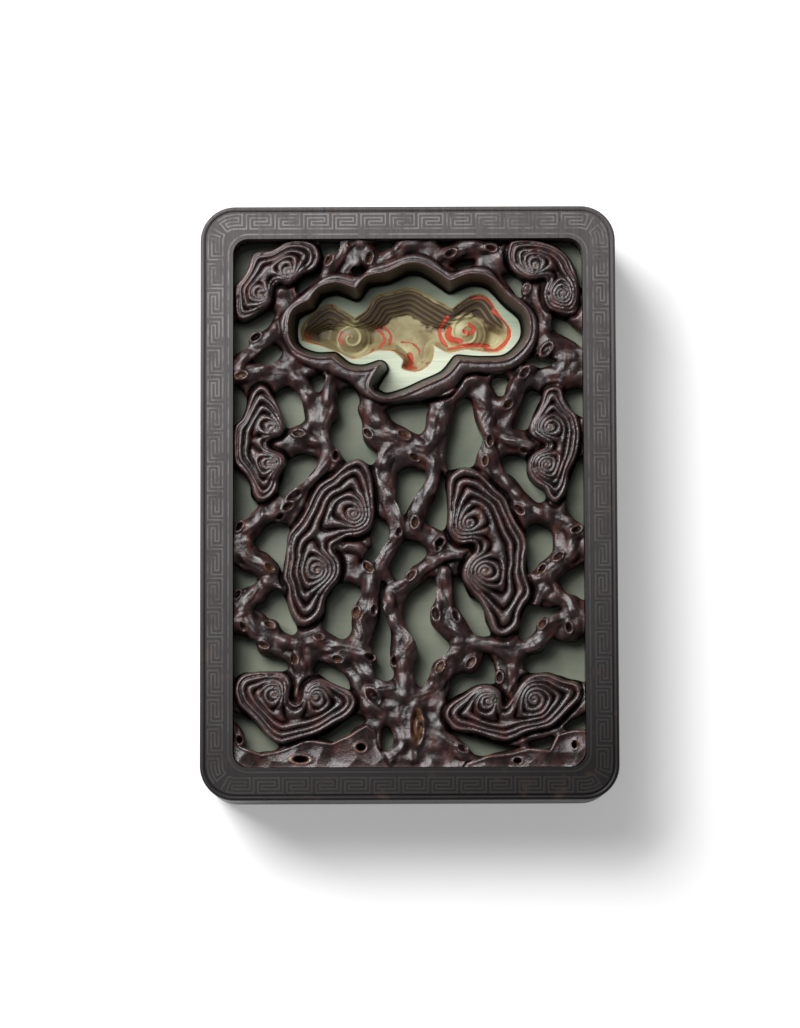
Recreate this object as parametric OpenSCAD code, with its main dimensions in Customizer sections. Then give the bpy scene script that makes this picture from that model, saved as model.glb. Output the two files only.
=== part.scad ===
// Inkstone box: a carved hardwood tray and openwork lid around a cut inkstone.
// Origin: centre of the footprint, on the table. +X right, +Y towards the ink pool, +Z up.

/* [Box] */
// Outer width of the box
box_w = 102; // [98:1:110]
// Outer length of the box
box_l = 146; // [142:1:156]
// Outer corner radius seen from above
corner_r = 8.5; // [8.3:0.1:10]
// Height of the tray wall, from the feet to the parting line
tray_h = 11.5; // [10:0.5:15]
// Height of the lid, from the parting line to the bead
lid_h = 16.5; // [16:0.5:20]

/* [Tray] */
// Thickness of the tray floor
floor_t = 3.5; // [2.5:0.1:4.5]
// Height of the raised lip that locates the lid
lip_h = 3; // [2:0.1:4]
// Quarter round along the bottom edge of the tray
tray_round = 1.6; // [0.8:0.1:2.4]

/* [Feet] */
// Height of the corner feet
foot_h = 2; // [1.2:0.1:3]
// Length of each arm of a corner foot
foot_l = 17; // [12:0.5:22]
// Width of each arm of a corner foot
foot_w = 6; // [4:0.5:8]
// Set-back of the feet from the box sides
foot_inset = 1.2; // [0.8:0.1:2]

/* [Lid] */
// Thickness of the lid side walls
lid_wall = 3.5; // [3:0.1:4]
// Width of the flat border seen from above
border_w = 8; // [7.7:0.1:8.4]
// Corner radius of the opening in the lid
opening_r = 3.8; // [3:0.1:5]
// Width of the rounded bead along the outer edge
bead_w = 1.3; // [1:0.1:1.5]
// Drop of the flat border below the crest of the bead
band_drop = 0.15; // [0.1:0.05:0.3]

/* [Silver inlay] */
// Width of the silver wire
wire_w = 0.36; // [0.3:0.02:0.44]
// Depth to which the wire is let into the wood
wire_d = 0.4; // [0.3:0.05:0.6]
// Inset of the outermost line of the key fret
fret_inset = 1.9; // [1.8:0.05:2.1]
// Inset of the straight line beside the opening
line_inset = 6.9; // [6.7:0.05:7.1]
// Space between the fret and the straight line
fret_gap = 1.4; // [1.2:0.05:1.6]
// Length of the key unit that turns each corner
fret_end_l = 7.1; // [6.8:0.1:7.4]
// Space between the fret and the corner's diagonal
fret_end = 0.4; // [0.3:0.05:0.6]
// Key units along a short side, between the corner units
fret_n_short = 11; // [10:1:12]
// Key units along a long side, between the corner units
fret_n_long = 17; // [16:1:18]

/* [Openwork panel] */
// Thickness of the board where it sits in the lid rebate
panel_t = 3.4; // [2.8:0.1:4]
// Width of the board edge held in the rebate
panel_edge = 2.5; // [1.5:0.1:2.7]
// Height of the cloud collar above the underside of the board
collar_h = 6.9; // [6:0.1:7.2]
// Height of the fungus heads above the underside of the board
head_h = 6.4; // [5.8:0.1:7]
// Height of the branches above the underside of the board
limb_h = 5.6; // [5:0.1:6]
// Inward slope of the cloud window from its crest to the underside
window_slope = 2.2; // [1.5:0.1:2.6]

/* [Inkstone] */
// Space between the stone and the side walls of the lid
stone_side = 2.5; // [2.3:0.1:4]
// Corner radius of the stone
stone_r = 4; // [3.2:0.1:6]
// Thickness of the stone
stone_h = 16.5; // [15:0.5:16.5]
// Depth of the ink pool
pool_d = 5; // [4.5:0.1:6]
// Steps cut into the far side of the ink pool
pool_steps = 4; // [2:1:5]
// Depth of the hollow under the stone
hollow_d = 1; // [0.6:0.1:1.6]
// Width of the rim that the stone stands on, round that hollow
hollow_rim = 8; // [6:0.5:12]

/* [Fits] */
// Gap around the stone in its tray
stone_gap = 0.4; // [0.3:0.05:0.6]
// Gap between the stone and the underside of the openwork board
stone_clear = 0.4; // [0.2:0.05:0.8]
// Gap between the lid and the lip of the tray
lip_gap = 0.3; // [0.2:0.05:0.4]
// Gap around the panel in its rebate
panel_gap = 0.1; // [0.05:0.05:0.2]
// Gap on each side of a wire in its groove
wire_gap = 0.01; // [0.01:0.01:0.02]

/* [Hidden] */
tray_z = foot_h;
parting_z = tray_z + tray_h;
top_z = parting_z + lid_h;
floor_z = tray_z + floor_t;
stone_z = floor_z + stone_h;
panel_z = stone_z + stone_clear;
band_z = lid_h - band_drop;
opening_w = box_w - 2 * border_w;
opening_l = box_l - 2 * border_w;
panel_w = opening_w + 2 * panel_edge;
panel_l = opening_l + 2 * panel_edge;
cavity_w = box_w - 2 * lid_wall;
cavity_l = box_l - 2 * lid_wall;
stone_w = cavity_w - 2 * stone_side;
stone_l = cavity_l - 2 * stone_side;
recess_w = stone_w + 2 * stone_gap;
recess_l = stone_l + 2 * stone_gap;
cut = 0.1;

// ---- curves ----

// Point at t on the smooth curve from b to c, with neighbours a and d
function curve(a, b, c, d, t) = 0.5 * (2 * b + (c - a) * t
    + (2 * a - 5 * b + 4 * c - d) * t * t + (3 * b - a - 3 * c + d) * t * t * t);
// Smooth open curve through points, n points to a span, without its last point
function open_curve(p, n) = [for (i = [0 : len(p) - 2], k = [0 : n - 1])
    curve(p[max(i - 1, 0)], p[i], p[i + 1], p[min(i + 2, len(p) - 1)], k / n)];
// Smooth closed curve through points, n points to a span
function ring_curve(p, n) = let (m = len(p)) [for (i = [0 : m - 1], k = [0 : n - 1])
    curve(p[(i + m - 1) % m], p[i], p[(i + 1) % m], p[(i + 2) % m], k / n)];
// Closed outline of smooth lobes that meet in sharp cusps
function lobe_ring(lobes, n) = [for (lobe = lobes) each open_curve(lobe, n)];
function unit(v) = v / max(norm(v), 0.001);
function left_of(v) = [-v.y, v.x];
function heading(p, i) = unit(p[min(i + 1, len(p) - 1)] - p[max(i - 1, 0)]);
// Closed ring moved d to the left of its direction of travel, which is taken over reach
// points to each side so that tight bends stay open
function shifted_ring(p, d, reach) = let (m = len(p)) [for (i = [0 : m - 1])
    p[i] + d * left_of(unit(p[(i + reach) % m] - p[(i + m - reach) % m]))];

// The carving is drawn for this opening, and stretches with the opening of the lid
drawn_w = 86;
drawn_l = 130;
function at(p) = [p.x * opening_w / drawn_w, p.y * opening_l / drawn_l];
function all_at(p) = [for (q = p) at(q)];
function size(v) = v * opening_w / drawn_w;

// ---- drawn carving, in millimetres from the middle of the opening ----

// Crest of the cloud collar, lobe by lobe, clockwise from the lower left
collar_lobes = [
    [[-18.5, 35.8], [-23, 35.8], [-27.5, 37.7], [-29.4, 41.5], [-28.6, 47.2], [-24.4, 49.9]],
    [[-24.4, 49.9], [-22, 53], [-17.5, 54.2], [-12.9, 52.7]],
    [[-12.9, 52.7], [-10.3, 55.7], [-5, 56.9], [0, 59], [4.5, 58.4], [10.4, 54.5]],
    [[10.4, 54.5], [15.5, 56.3], [20.5, 55.3], [25, 50.8], [29.3, 46.5], [29.6, 40.5],
        [25, 35.4], [18.5, 34.6], [12.5, 35]],
    [[12.5, 35], [9.3, 31.3], [4, 28.8], [-1, 26.6], [-6, 25.6], [-9.6, 28.5], [-7, 33.7]],
    [[-7, 33.7], [-11, 32.6], [-15, 33.2], [-18.5, 35.8]]];

// Foot of the collar on its outer side
collar_foot = [[-31.9, 42.5], [-30.8, 47], [-27.5, 50.3], [-23.5, 53.5], [-20, 56.2],
    [-16.5, 56.8], [-12, 56], [-9, 58.4], [-4, 60], [1, 61.6], [5.5, 60.8], [10.5, 57],
    [15, 58], [20, 57.8], [24, 53], [28.5, 49.6], [31.5, 46], [32.2, 41.5], [30.3, 36.5],
    [26.5, 33], [21, 31.5], [15, 31.6], [11.5, 28], [6, 25.7], [0, 25], [-6, 24.3],
    [-10.5, 26], [-14.5, 29.5], [-20, 31.8], [-25.5, 34], [-29.3, 37]];

// Cloud outline of the ink pool, lobe by lobe, clockwise from the left
pool_lobes = [
    [[-26.3, 40.7], [-26.5, 43.8], [-24, 47.3], [-19.5, 50], [-16, 48.3], [-13, 46.3]],
    [[-13, 46.3], [-10.3, 48.3], [-8, 52], [-4, 53], [1, 54], [5.5, 51.8], [11, 48.6]],
    [[11, 48.6], [15, 51.5], [19, 52], [22.5, 47.5], [25.5, 42.5], [22.5, 37.8],
        [15, 38.5], [10, 37.8], [6.5, 39.5]],
    [[6.5, 39.5], [5.8, 35.5], [2.5, 33.1], [-1.4, 33.8], [-1.2, 36], [-3.5, 38.2]],
    [[-3.5, 38.2], [-7.5, 38.3], [-13, 36.3], [-17, 37.8], [-21, 39.3], [-26.3, 40.7]]];
// The steps of the pool close in on this point of its near side
pool_heart = [0, 38.2];
// Scrolls left standing in the pool: centre and radius
pool_scrolls = [[[-14, 41.6], 3.6], [[14.6, 43], 4.1]];

// Outlines of the fungus heads, each from its notch round to its notch
heads = [
    [[-31.5, 54.2], [-33.3, 51], [-34.5, 48.2], [-38, 46], [-41.3, 45.2], [-42.8, 48.5],
        [-42.5, 53.7], [-39.6, 58], [-38.5, 61.2], [-34, 62.5], [-30, 64.7], [-25, 65],
        [-21.7, 62.5], [-21.8, 59], [-24.5, 56.9], [-28, 54.3], [-31.5, 54.2]],
    [[33.7, 54.6], [33, 51.5], [34, 48.2], [38, 46.2], [41.2, 46.5], [42.2, 51],
        [41.5, 57], [38.5, 61.8], [34, 64.3], [28, 65.2], [24.5, 63], [24.6, 59.2],
        [27.5, 55.8], [31, 54.6], [33.7, 54.6]],
    [[-33.9, 14.3], [-31, 12.2], [-30, 10], [-31.6, 7], [-32.2, 2.8], [-35, 0.2],
        [-38, 2], [-39.8, 6.5], [-42.7, 10], [-43, 16], [-41, 20.5], [-39.2, 25.5],
        [-36.8, 29.2], [-33.8, 27.5], [-31.3, 22.8], [-30.2, 18.5], [-31.5, 16], [-33.9, 14.3]],
    [[33.3, 13.9], [30.5, 15.5], [29.5, 18], [31.3, 22], [33, 26.5], [35.5, 28.8],
        [38.2, 27], [40, 22.8], [42.3, 17.5], [41.4, 11.3], [39.3, 7], [38.5, 2.5],
        [36, -1], [33.5, 2.5], [30.5, 5], [29.1, 9], [30.7, 12.3], [33.3, 13.9]],
    [[-17.7, -11.2], [-16.3, -14.5], [-17, -19], [-20.3, -23.5], [-22, -28.8], [-25.5, -30.6],
        [-29, -27.5], [-30.2, -21.5], [-30.6, -16], [-29.8, -9], [-26.5, -3.8], [-23.5, 2.5],
        [-18.5, 7], [-14.5, 10.8], [-10.5, 10], [-8.6, 4.5], [-8.2, -2], [-9.5, -7],
        [-13.5, -9], [-17.7, -11.2]],
    [[15.7, -11.5], [13.2, -14.8], [13, -18.5], [16, -23], [18.6, -27.8], [21, -32.6],
        [25, -33], [27.3, -28.8], [29.8, -24], [29.2, -19.5], [28.6, -14], [28.6, -8.5],
        [25.5, -2.8], [20.5, 4.5], [14, 8.6], [10.2, 7], [9.3, 2], [9.4, -6],
        [12, -10.5], [15.7, -11.5]],
    [[-27.8, -49], [-28.8, -46], [-29.8, -42.5], [-34, -41.2], [-40, -41.9], [-42.8, -45.5],
        [-41.5, -50], [-36.5, -54.5], [-32, -59], [-26, -57.8], [-20.5, -55.8], [-14.5, -52.2],
        [-12.9, -48.8], [-16, -45.3], [-21.5, -43], [-25.6, -44.6], [-27.8, -49]],
    [[22.9, -49.8], [25.3, -47], [28, -43.3], [33, -41.8], [38, -43.7], [42, -45.2],
        [41.3, -49], [37, -53.5], [31, -56], [23.5, -58.8], [17, -57], [10, -55.8],
        [8.4, -52.5], [12.5, -47.5], [17.5, -44.8], [22, -46], [22.9, -49.8]]];

// Eyes of the scrolls on the heads: centre, radius, and turn (1 left, -1 right)
scrolls = [
    [[-29.5, 57.6], 3.1, -1], [[-36.6, 51.6], 3, 1], [[30.6, 58.6], 3.2, 1],
    [[38, 51.2], 2.9, -1], [[-34.1, 18.6], 2.7, -1], [[-34.6, 9.2], 2.8, 1],
    [[34.6, 18.4], 2.8, 1], [[34, 9.2], 2.9, -1], [[-13.6, -2.6], 4.1, -1],
    [[-22.4, -17.2], 4.3, 1], [[14.8, -5.2], 4, 1], [[19.2, -17.3], 4, -1],
    [[-33, -47.4], 3, -1], [[-22.3, -48], 3.1, 1], [[19, -49.6], 2.9, -1],
    [[30.6, -48.8], 3.4, 1]];

// Branches: width at each end, then the route
limbs = [
    [[10, 8], [[0, -62], [-0.5, -55], [-1, -48], [-1, -45]]],
    [[6, 4.4], [[-2, -47], [-6, -45], [-10, -41.5], [-12, -37], [-11, -31], [-10, -24],
        [-7.5, -16.5], [-3.8, -9], [-3.2, -3.5], [-6, 4], [-6.4, 9], [-5, 12.5]]],
    [[4.6, 4], [[-0.6, -47.5], [-0.6, -39], [0, -33.5], [-3, -30], [-5, -25]]],
    [[3.4, 2.8], [[-5.2, -26.2], [-4.4, -22], [0, -20], [4, -16], [10, -13], [14, -13]]],
    [[6, 4], [[1, -49], [5, -46], [9, -40], [13, -34], [9.6, -29.5], [8.5, -24], [8.5, -17.5]]],
    [[4.4, 3.4], [[-1.8, -57], [-5, -61], [-10, -62.6]]],
    [[5, 3.5], [[3, -55], [8, -57.5], [13, -61.5]]],
    [[4.2, 3.6], [[-4, -46], [-8, -46.4], [-10, -49.5], [-7, -52.5]]],
    [[5, 3.4], [[-8.5, 26], [-8.3, 21], [-5, 17.5], [0, 15], [6, 10.5], [5.5, 4.5],
        [2.5, 0], [1.5, -6.5]]],
    [[3.6, 3.4], [[-31, 44], [-35, 40], [-39.5, 36.5], [-43.5, 31.5]]],
    [[4, 5.6], [[-43.5, 31.2], [-37.5, 32.5], [-29.5, 33.4], [-26, 28], [-22.8, 23.5],
        [-22.5, 20]]],
    [[3.6, 3.4], [[-19.5, 31], [-19.5, 25], [-21, 18], [-19.8, 12.5], [-22.5, 6.5],
        [-28, 2.5], [-33, -1.5]]],
    [[3.2, 3.2], [[-32, 14.5], [-28.5, 16], [-24, 15.5], [-20.5, 14.5]]],
    [[4, 4.4], [[-33, -1.5], [-38, -4.5], [-40.8, -9.5], [-38.5, -14], [-34.2, -18],
        [-37.5, -22.2], [-40, -26.5], [-37, -32], [-30, -34.4], [-22, -34.5], [-15, -36],
        [-11, -37]]],
    [[4, 3.6], [[-40.4, -10], [-44.2, -9]]],
    [[4, 3.6], [[-40, -27], [-44.2, -29]]],
    [[3.6, 3], [[-27, -35], [-26.3, -41], [-27, -49]]],
    [[3.4, 3], [[-17.5, -10.5], [-12.5, -11.5], [-9, -15]]],
    [[3, 3], [[-30, -21], [-34.5, -19.5]]],
    [[3.6, 3.4], [[32.5, 55], [31.6, 51], [33.8, 46], [33.6, 41], [37, 37.5], [40, 36]]],
    [[7, 5], [[38, 36], [44, 35.5]]],
    [[4, 3.4], [[38.5, 35], [37.5, 31], [36, 27.5]]],
    [[3.4, 3.4], [[31, 44], [33.5, 42.5]]],
    [[6, 5], [[15.5, 31.5], [11, 27], [7.5, 23], [6.8, 18], [4, 13.5]]],
    [[4.6, 4.2], [[16, 30.5], [19, 23], [19.2, 15], [18.8, 8], [18, 3]]],
    [[3.4, 3.2], [[20, 17.5], [25, 15.6], [31, 14]]],
    [[3.4, 3.2], [[18.5, 24], [24, 24.5], [28.5, 31], [33.8, 37.5]]],
    [[3.4, 4.4], [[20, 13], [21.5, 8], [25, 3], [30, -2], [36, -4], [40.3, -7], [39.5, -12.8],
        [34.5, -17.5], [33.4, -21.5], [38.5, -24.5], [39.6, -29]]],
    [[4, 3.6], [[40, -8], [44.2, -6]]],
    [[4, 3.6], [[39.8, -27], [44.2, -29]]],
    [[3, 3], [[29, -19], [34, -19]]],
    [[3.2, 3], [[33.4, -21.5], [30, -25], [27.5, -28.5]]],
    [[4.4, 3.8], [[12, -34.5], [18, -34.8], [24, -36], [31, -34.5], [35.5, -29.3], [39.6, -27.5]]],
    [[3.4, 3], [[22, -36], [25.3, -40], [25, -47]]],
    [[3.4, 3.4], [[-14.5, 66.5], [-17, 61.5], [-20, 56]]],
    [[3.4, 3.4], [[-11, 66.5], [-12, 61], [-15, 56.5]]],
    [[5, 4], [[-7, 58], [-2, 62.5], [3, 66.5]]],
    [[4, 3.4], [[7, 60], [15, 63.5], [25, 62]]],
    [[3.2, 3], [[-30, 53.8], [-28.5, 51.5]]]];

// Cut stubs on the branches: centre and radius
knots = [[[-19.5, 60], 1.7], [[-9.5, 60.5], 1.6], [[10.5, 61.5], 1.7], [[20.5, 62.8], 1.5],
    [[29.2, 52.8], 1.6], [[34, 37.5], 2], [[28.5, 31.8], 1.7], [[-37.5, 41], 1.6],
    [[-41, 31.3], 1.6], [[-22.5, 19.8], 2.8], [[-27, 17], 1.5], [[-18.4, 11.5], 1.7],
    [[-10, 17.6], 1.6], [[-1, 16.5], 1.7], [[24.5, 24], 1.5], [[20, 15], 1.6],
    [[-41, -5.8], 1.5], [[-30, -1], 1.6], [[-34, -16], 1.5], [[-34.6, -30.8], 1.5],
    [[-10.4, -16.6], 1.6], [[0.5, -18.4], 1.5], [[1.5, -5], 1.7], [[27, -1], 1.5],
    [[41, -8], 1.5], [[36.5, -14.6], 1.5], [[7.4, -28], 1.6], [[15, -38], 1.6],
    [[32.5, -31.6], 1.6], [[39, -30.4], 1.7], [[-22, -33.4], 1.5], [[-10.2, -39], 1.7]];

// Rocks at the foot of the tree: outline, clockwise from the left wall
left_rocks = [[-44.5, -52.5], [-42.3, -54.5], [-41, -59.5], [-36, -61.4], [-31, -60.3],
    [-25.5, -57.8], [-19, -58.8], [-14.5, -56.7], [-10.5, -54.3], [-8, -56], [-7, -60],
    [-3, -62.5], [2, -62.5], [2, -66.5], [-44.5, -66.5]];
right_rocks = [[2, -66.5], [2, -60], [7, -60.5], [12, -63.4], [19, -62], [25, -61.3],
    [29, -60.2], [34, -60.6], [36, -56.8], [40, -55.8], [44.5, -55.8], [44.5, -66.5]];
// Water-worn holes in the rocks: centre, radius along the box width and length
rock_holes = [[[-41.4, -58], 0.9, 1.4], [[-26.2, -62.8], 1.8, 0.9], [[-11.8, -59.7], 1.2, 0.9],
    [[26.3, -63.4], 1.6, 0.7], [[40.2, -59.3], 1.1, 1.4]];

// ---- shared shapes ----

module rounded(w, l, r) {
    polygon([for (q = [[1, 1, 0], [-1, 1, 90], [-1, -1, 180], [1, -1, 270]], a = [0 : 10 : 90])
        [q.x * (w / 2 - r) + r * cos(a + q.z), q.y * (l / 2 - r) + r * sin(a + q.z)]]);
}

// Solid prism with round corners
module slab(w, l, r, z0, z1) {
    translate([0, 0, z0]) linear_extrude(z1 - z0) rounded(w, l, r);
}

// Wall whose section is drawn as [inset from the outside, height], run round a rounded
// rectangle: four turned corners joined by four straight runs
module moulding(w, l, r, section) {
    turned = [for (q = section) [r - q.x, q.y]];
    for (side = [0, 1]) mirror([side, 0, 0]) {
        translate([w / 2 - r, l / 2 - r, 0]) rotate_extrude(angle = 90, $fn = 48)
            polygon(turned);
        translate([w / 2 - r, r - l / 2, 0]) rotate([0, 0, -90])
            rotate_extrude(angle = 90, $fn = 48) polygon(turned);
        translate([w / 2 - r, l / 2 - r, 0]) rotate([90, 0, 0])
            linear_extrude(l - 2 * r) polygon(turned);
    }
    for (end = [0, 1]) mirror([0, end, 0])
        translate([r - w / 2, l / 2 - r, 0]) rotate([90, 0, 90])
            linear_extrude(w - 2 * r) polygon(turned);
}

function arc(cx, cy, r, a0, a1, n) = [for (i = [0 : n])
    [cx + r * cos(a0 + (a1 - a0) * i / n), cy + r * sin(a0 + (a1 - a0) * i / n)]];

// ---- silver inlay ----

fret_pitch = (line_inset - fret_gap - fret_inset) / 4;
fret_mid = fret_inset + 2 * fret_pitch;
straight_w = box_w / 2 - corner_r;
straight_l = box_l / 2 - corner_r;
// Length of the middle line of the fret from a corner's tangent to its diagonal
corner_run = (corner_r - fret_mid) * PI / 4;

// One key unit as [share of the unit's length, line number from the outside]: a wire that
// winds in to the middle of the unit and out again
key_unit = [[0.722, 0], [0.722, 3], [0.146, 3], [0.146, 2], [0.597, 2], [0.597, 1],
    [0, 1], [0, 4], [0.875, 4], [0.875, 0]];

// Place along a side (s from its middle) and inset, bent round the corners
function on_side(s, inset, half_straight, half_width) =
    let (over = max(abs(s) - half_straight, 0), turn = over / corner_run * 45,
        r = corner_r - inset, side = s < 0 ? -1 : 1)
    over == 0 ? [s, half_width - inset]
        : [side * (half_straight + r * sin(turn)), half_width - corner_r + r * cos(turn)];

// Fret along one side as a polyline: n plain units between two corner units
function fret_line(n, half_straight, half_width) =
    let (half_run = half_straight + corner_run - fret_end,
        plain = 2 * (half_run - fret_end_l) / n,
        keys = [[-half_run, 0], for (i = [-1 : n], q = key_unit)
            let (s0 = i < 0 ? -half_run : i * plain - half_run + fret_end_l,
                length = i < 0 || i == n ? fret_end_l : plain)
            [s0 + q.x * length, q.y]],
        last = len(keys) - 1)
    [for (k = [0 : last]) let (a = keys[k], b = keys[min(k + 1, last)],
            parts = k < last && a.y == b.y && max(abs(a.x), abs(b.x)) > half_straight ? 3 : 1)
        for (j = [0 : parts - 1]) let (q = a + (b - a) * j / parts)
            on_side(q.x, fret_inset + q.y * fret_pitch, half_straight, half_width)];

// Outline of a wire of width w laid along a polyline
function ribbon(p, w) = let (m = len(p) - 1,
        dirs = [for (i = [0 : m - 1]) unit(p[i + 1] - p[i])],
        side = [for (i = [0 : m]) let (a = left_of(dirs[max(i - 1, 0)]),
            b = left_of(dirs[min(i, m - 1)])) (a + b) / (1 + a * b) * w / 2])
    concat([for (i = [0 : m]) p[i] + side[i]], [for (i = [m : -1 : 0]) p[i] - side[i]]);

// Fret of one side: side 0 and 2 are the back and front, 1 and 3 the left and right
module fret(side, w) {
    across = side % 2 == 0;
    path = across ? fret_line(fret_n_short, straight_w, box_l / 2)
        : fret_line(fret_n_long, straight_l, box_w / 2);
    rotate([0, 0, 90 * side]) polygon(ribbon(path, w));
}

module fret_wire(side) {
    color("gainsboro") translate([0, 0, parting_z + band_z - wire_d])
        linear_extrude(wire_d) fret(side, wire_w);
}

module line_wire() {
    line_r = opening_r + border_w - line_inset;
    color("gainsboro") difference() {
        slab(box_w - 2 * line_inset + wire_w, box_l - 2 * line_inset + wire_w,
            line_r + wire_w / 2, parting_z + band_z - wire_d, parting_z + band_z);
        slab(box_w - 2 * line_inset - wire_w, box_l - 2 * line_inset - wire_w,
            line_r - wire_w / 2, parting_z, top_z);
    }
}

// ---- tray and feet ----

module base_tray() {
    inner = corner_r - 1;
    section = concat(arc(tray_round, tray_round, tray_round, 270, 180, 6),
        [[0, tray_h], [inner, tray_h], [inner, 0]]);
    color("#3f2a26") difference() {
        union() {
            translate([0, 0, tray_z]) moulding(box_w, box_l, corner_r, section);
            slab(box_w - inner, box_l - inner, corner_r, tray_z, parting_z);
            slab(cavity_w - 2 * lip_gap, cavity_l - 2 * lip_gap, corner_r - lid_wall,
                tray_z + tray_round, parting_z + lip_h);
        }
        slab(recess_w, recess_l, stone_r + stone_gap, floor_z, top_z);
    }
}

// Bracket foot under one corner; sx and sy are its side of the box
module foot(sx, sy) {
    w = box_w - 2 * foot_inset - 2 * tray_round;
    l = box_l - 2 * foot_inset - 2 * tray_round;
    color("#38241f") intersection() {
        difference() {
            slab(w, l, corner_r - foot_inset - tray_round, 0, foot_h);
            slab(w - 2 * foot_w, l - 2 * foot_w, foot_w / 2, -cut, foot_h + cut);
        }
        translate([sx * w / 2, sy * l / 2, 0])
            cube([2 * foot_l, 2 * foot_l, 3 * foot_h], center = true);
    }
}

// ---- inkstone ----

// Raised spiral ridge of a cloud scroll, wound inwards
module scroll_ridge(r, turns, w) {
    steps = 8 * turns;
    path = [for (i = [0 : steps]) (r - w / 2) * (1 - 0.8 * i / steps)
        * [cos(360 * turns * i / steps), sin(360 * turns * i / steps)]];
    polygon(ribbon(path, w));
}

module inkstone() {
    edge = 1;
    section = concat([[0, 0]], arc(edge, stone_h - edge, edge, 180, 90, 4),
        [[stone_r - 0.5, stone_h], [stone_r - 0.5, 0]]);
    pool = all_at(lobe_ring(pool_lobes, 3));
    heart = at(pool_heart);
    color("#a6b29a") union() {
        difference() {
            union() {
                translate([0, 0, floor_z]) moulding(stone_w, stone_l, stone_r, section);
                slab(stone_w - stone_r, stone_l - stone_r, stone_r / 2, floor_z, stone_z);
            }
            for (i = [1 : pool_steps]) let (k = 1 - 0.05 * (i - 1))
                translate([0, 0, stone_z - pool_d * i / pool_steps])
                    linear_extrude(pool_d) polygon([for (q = pool) heart + k * (q - heart)]);
            slab(stone_w - 2 * hollow_rim, stone_l - 2 * hollow_rim, stone_r, 0, floor_z + hollow_d);
        }
        for (s = pool_scrolls) translate([at(s[0]).x, at(s[0]).y, stone_z - pool_d - cut]) {
            cylinder(r = size(s[1]), h = pool_d * 0.55, $fn = 32);
            linear_extrude(pool_d * 0.8) scroll_ridge(size(s[1]), 2, size(0.8));
        }
    }
}

// ---- lid ----

module lid_frame() {
    b = bead_w / 2;
    inner = corner_r - 1;
    section = concat([[0, 0]], arc(b, lid_h - b, b, 180, 30, 8),
        [[bead_w, band_z - 0.25], [bead_w + 0.2, band_z], [inner, band_z], [inner, 0]]);
    groove = wire_w + 2 * wire_gap;
    line_r = opening_r + border_w - line_inset;
    color("#4a3a38") difference() {
        translate([0, 0, parting_z]) union() {
            moulding(box_w, box_l, corner_r, section);
            slab(box_w - inner, box_l - inner, corner_r, 0, band_z);
        }
        slab(cavity_w, cavity_l, corner_r - lid_wall, 0, panel_z);
        slab(panel_w + 2 * panel_gap, panel_l + 2 * panel_gap, opening_r, 0, panel_z + panel_t);
        slab(opening_w, opening_l, opening_r, 0, top_z + cut);
        for (side = [0 : 3]) translate([0, 0, parting_z + band_z - wire_d])
            linear_extrude(2) fret(side, groove);
        difference() {
            slab(box_w - 2 * line_inset + groove, box_l - 2 * line_inset + groove,
                line_r + groove / 2, parting_z + band_z - wire_d, top_z + cut);
            slab(box_w - 2 * line_inset - groove, box_l - 2 * line_inset - groove,
                line_r - groove / 2, 0, top_z + 2 * cut);
        }
    }
}

// ---- openwork panel ----

// Branch: vertical sides and a rounded back, run along a smooth route
module limb(widths, route) {
    n_span = len(route) > 7 ? 1 : 2;
    p = all_at(concat(open_curve(route, n_span), [route[len(route) - 1]]));
    m = len(p) - 1;
    section = size(1) * [[0.5, 0], [0.5, -0.4], [0, 0], [-0.5, -0.4], [-0.5, 0]];
    n = len(section);
    pts = [for (i = [0 : m]) let (w = widths[0] + (widths[1] - widths[0]) * i / m,
            side = left_of(heading(p, i)))
        for (k = [0 : n - 1]) let (q = p[i] + side * section[k].x * w)
            [q.x, q.y, k == 0 || k == n - 1 ? 0 : limb_h + section[k].y * w]];
    polyhedron(pts, concat(
        [[for (k = [0 : n - 1]) k]],
        [for (i = [0 : m - 1], k = [0 : n - 1]) [i * n + k, (i + 1) * n + k,
            (i + 1) * n + (k + 1) % n]],
        [for (i = [0 : m - 1], k = [0 : n - 1]) [i * n + k, (i + 1) * n + (k + 1) % n,
            i * n + (k + 1) % n]],
        [[for (k = [n - 1 : -1 : 0]) m * n + k]]));
}

// Stepped head of a fungus: ridges that follow its rim
module fungus(outline) {
    p = all_at(open_curve(outline, 2));
    for (step = [0 : 1]) linear_extrude(head_h - size(0.8) * (1 - step))
        offset(delta = -size(1.6) * step) polygon(p);
}

// Cut stub: a short peg with a rounded rim
module knot(r) {
    hull() {
        cylinder(r = r, h = limb_h, $fn = 6);
        cylinder(r = r * 0.7, h = limb_h + size(0.4), $fn = 6);
    }
}

module rocks(outline) {
    p = all_at(outline);
    for (step = [0 : 1]) linear_extrude(limb_h - size(1 - 0.8 * step))
        offset(delta = -size(0.9) * step) polygon(p);
}

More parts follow.
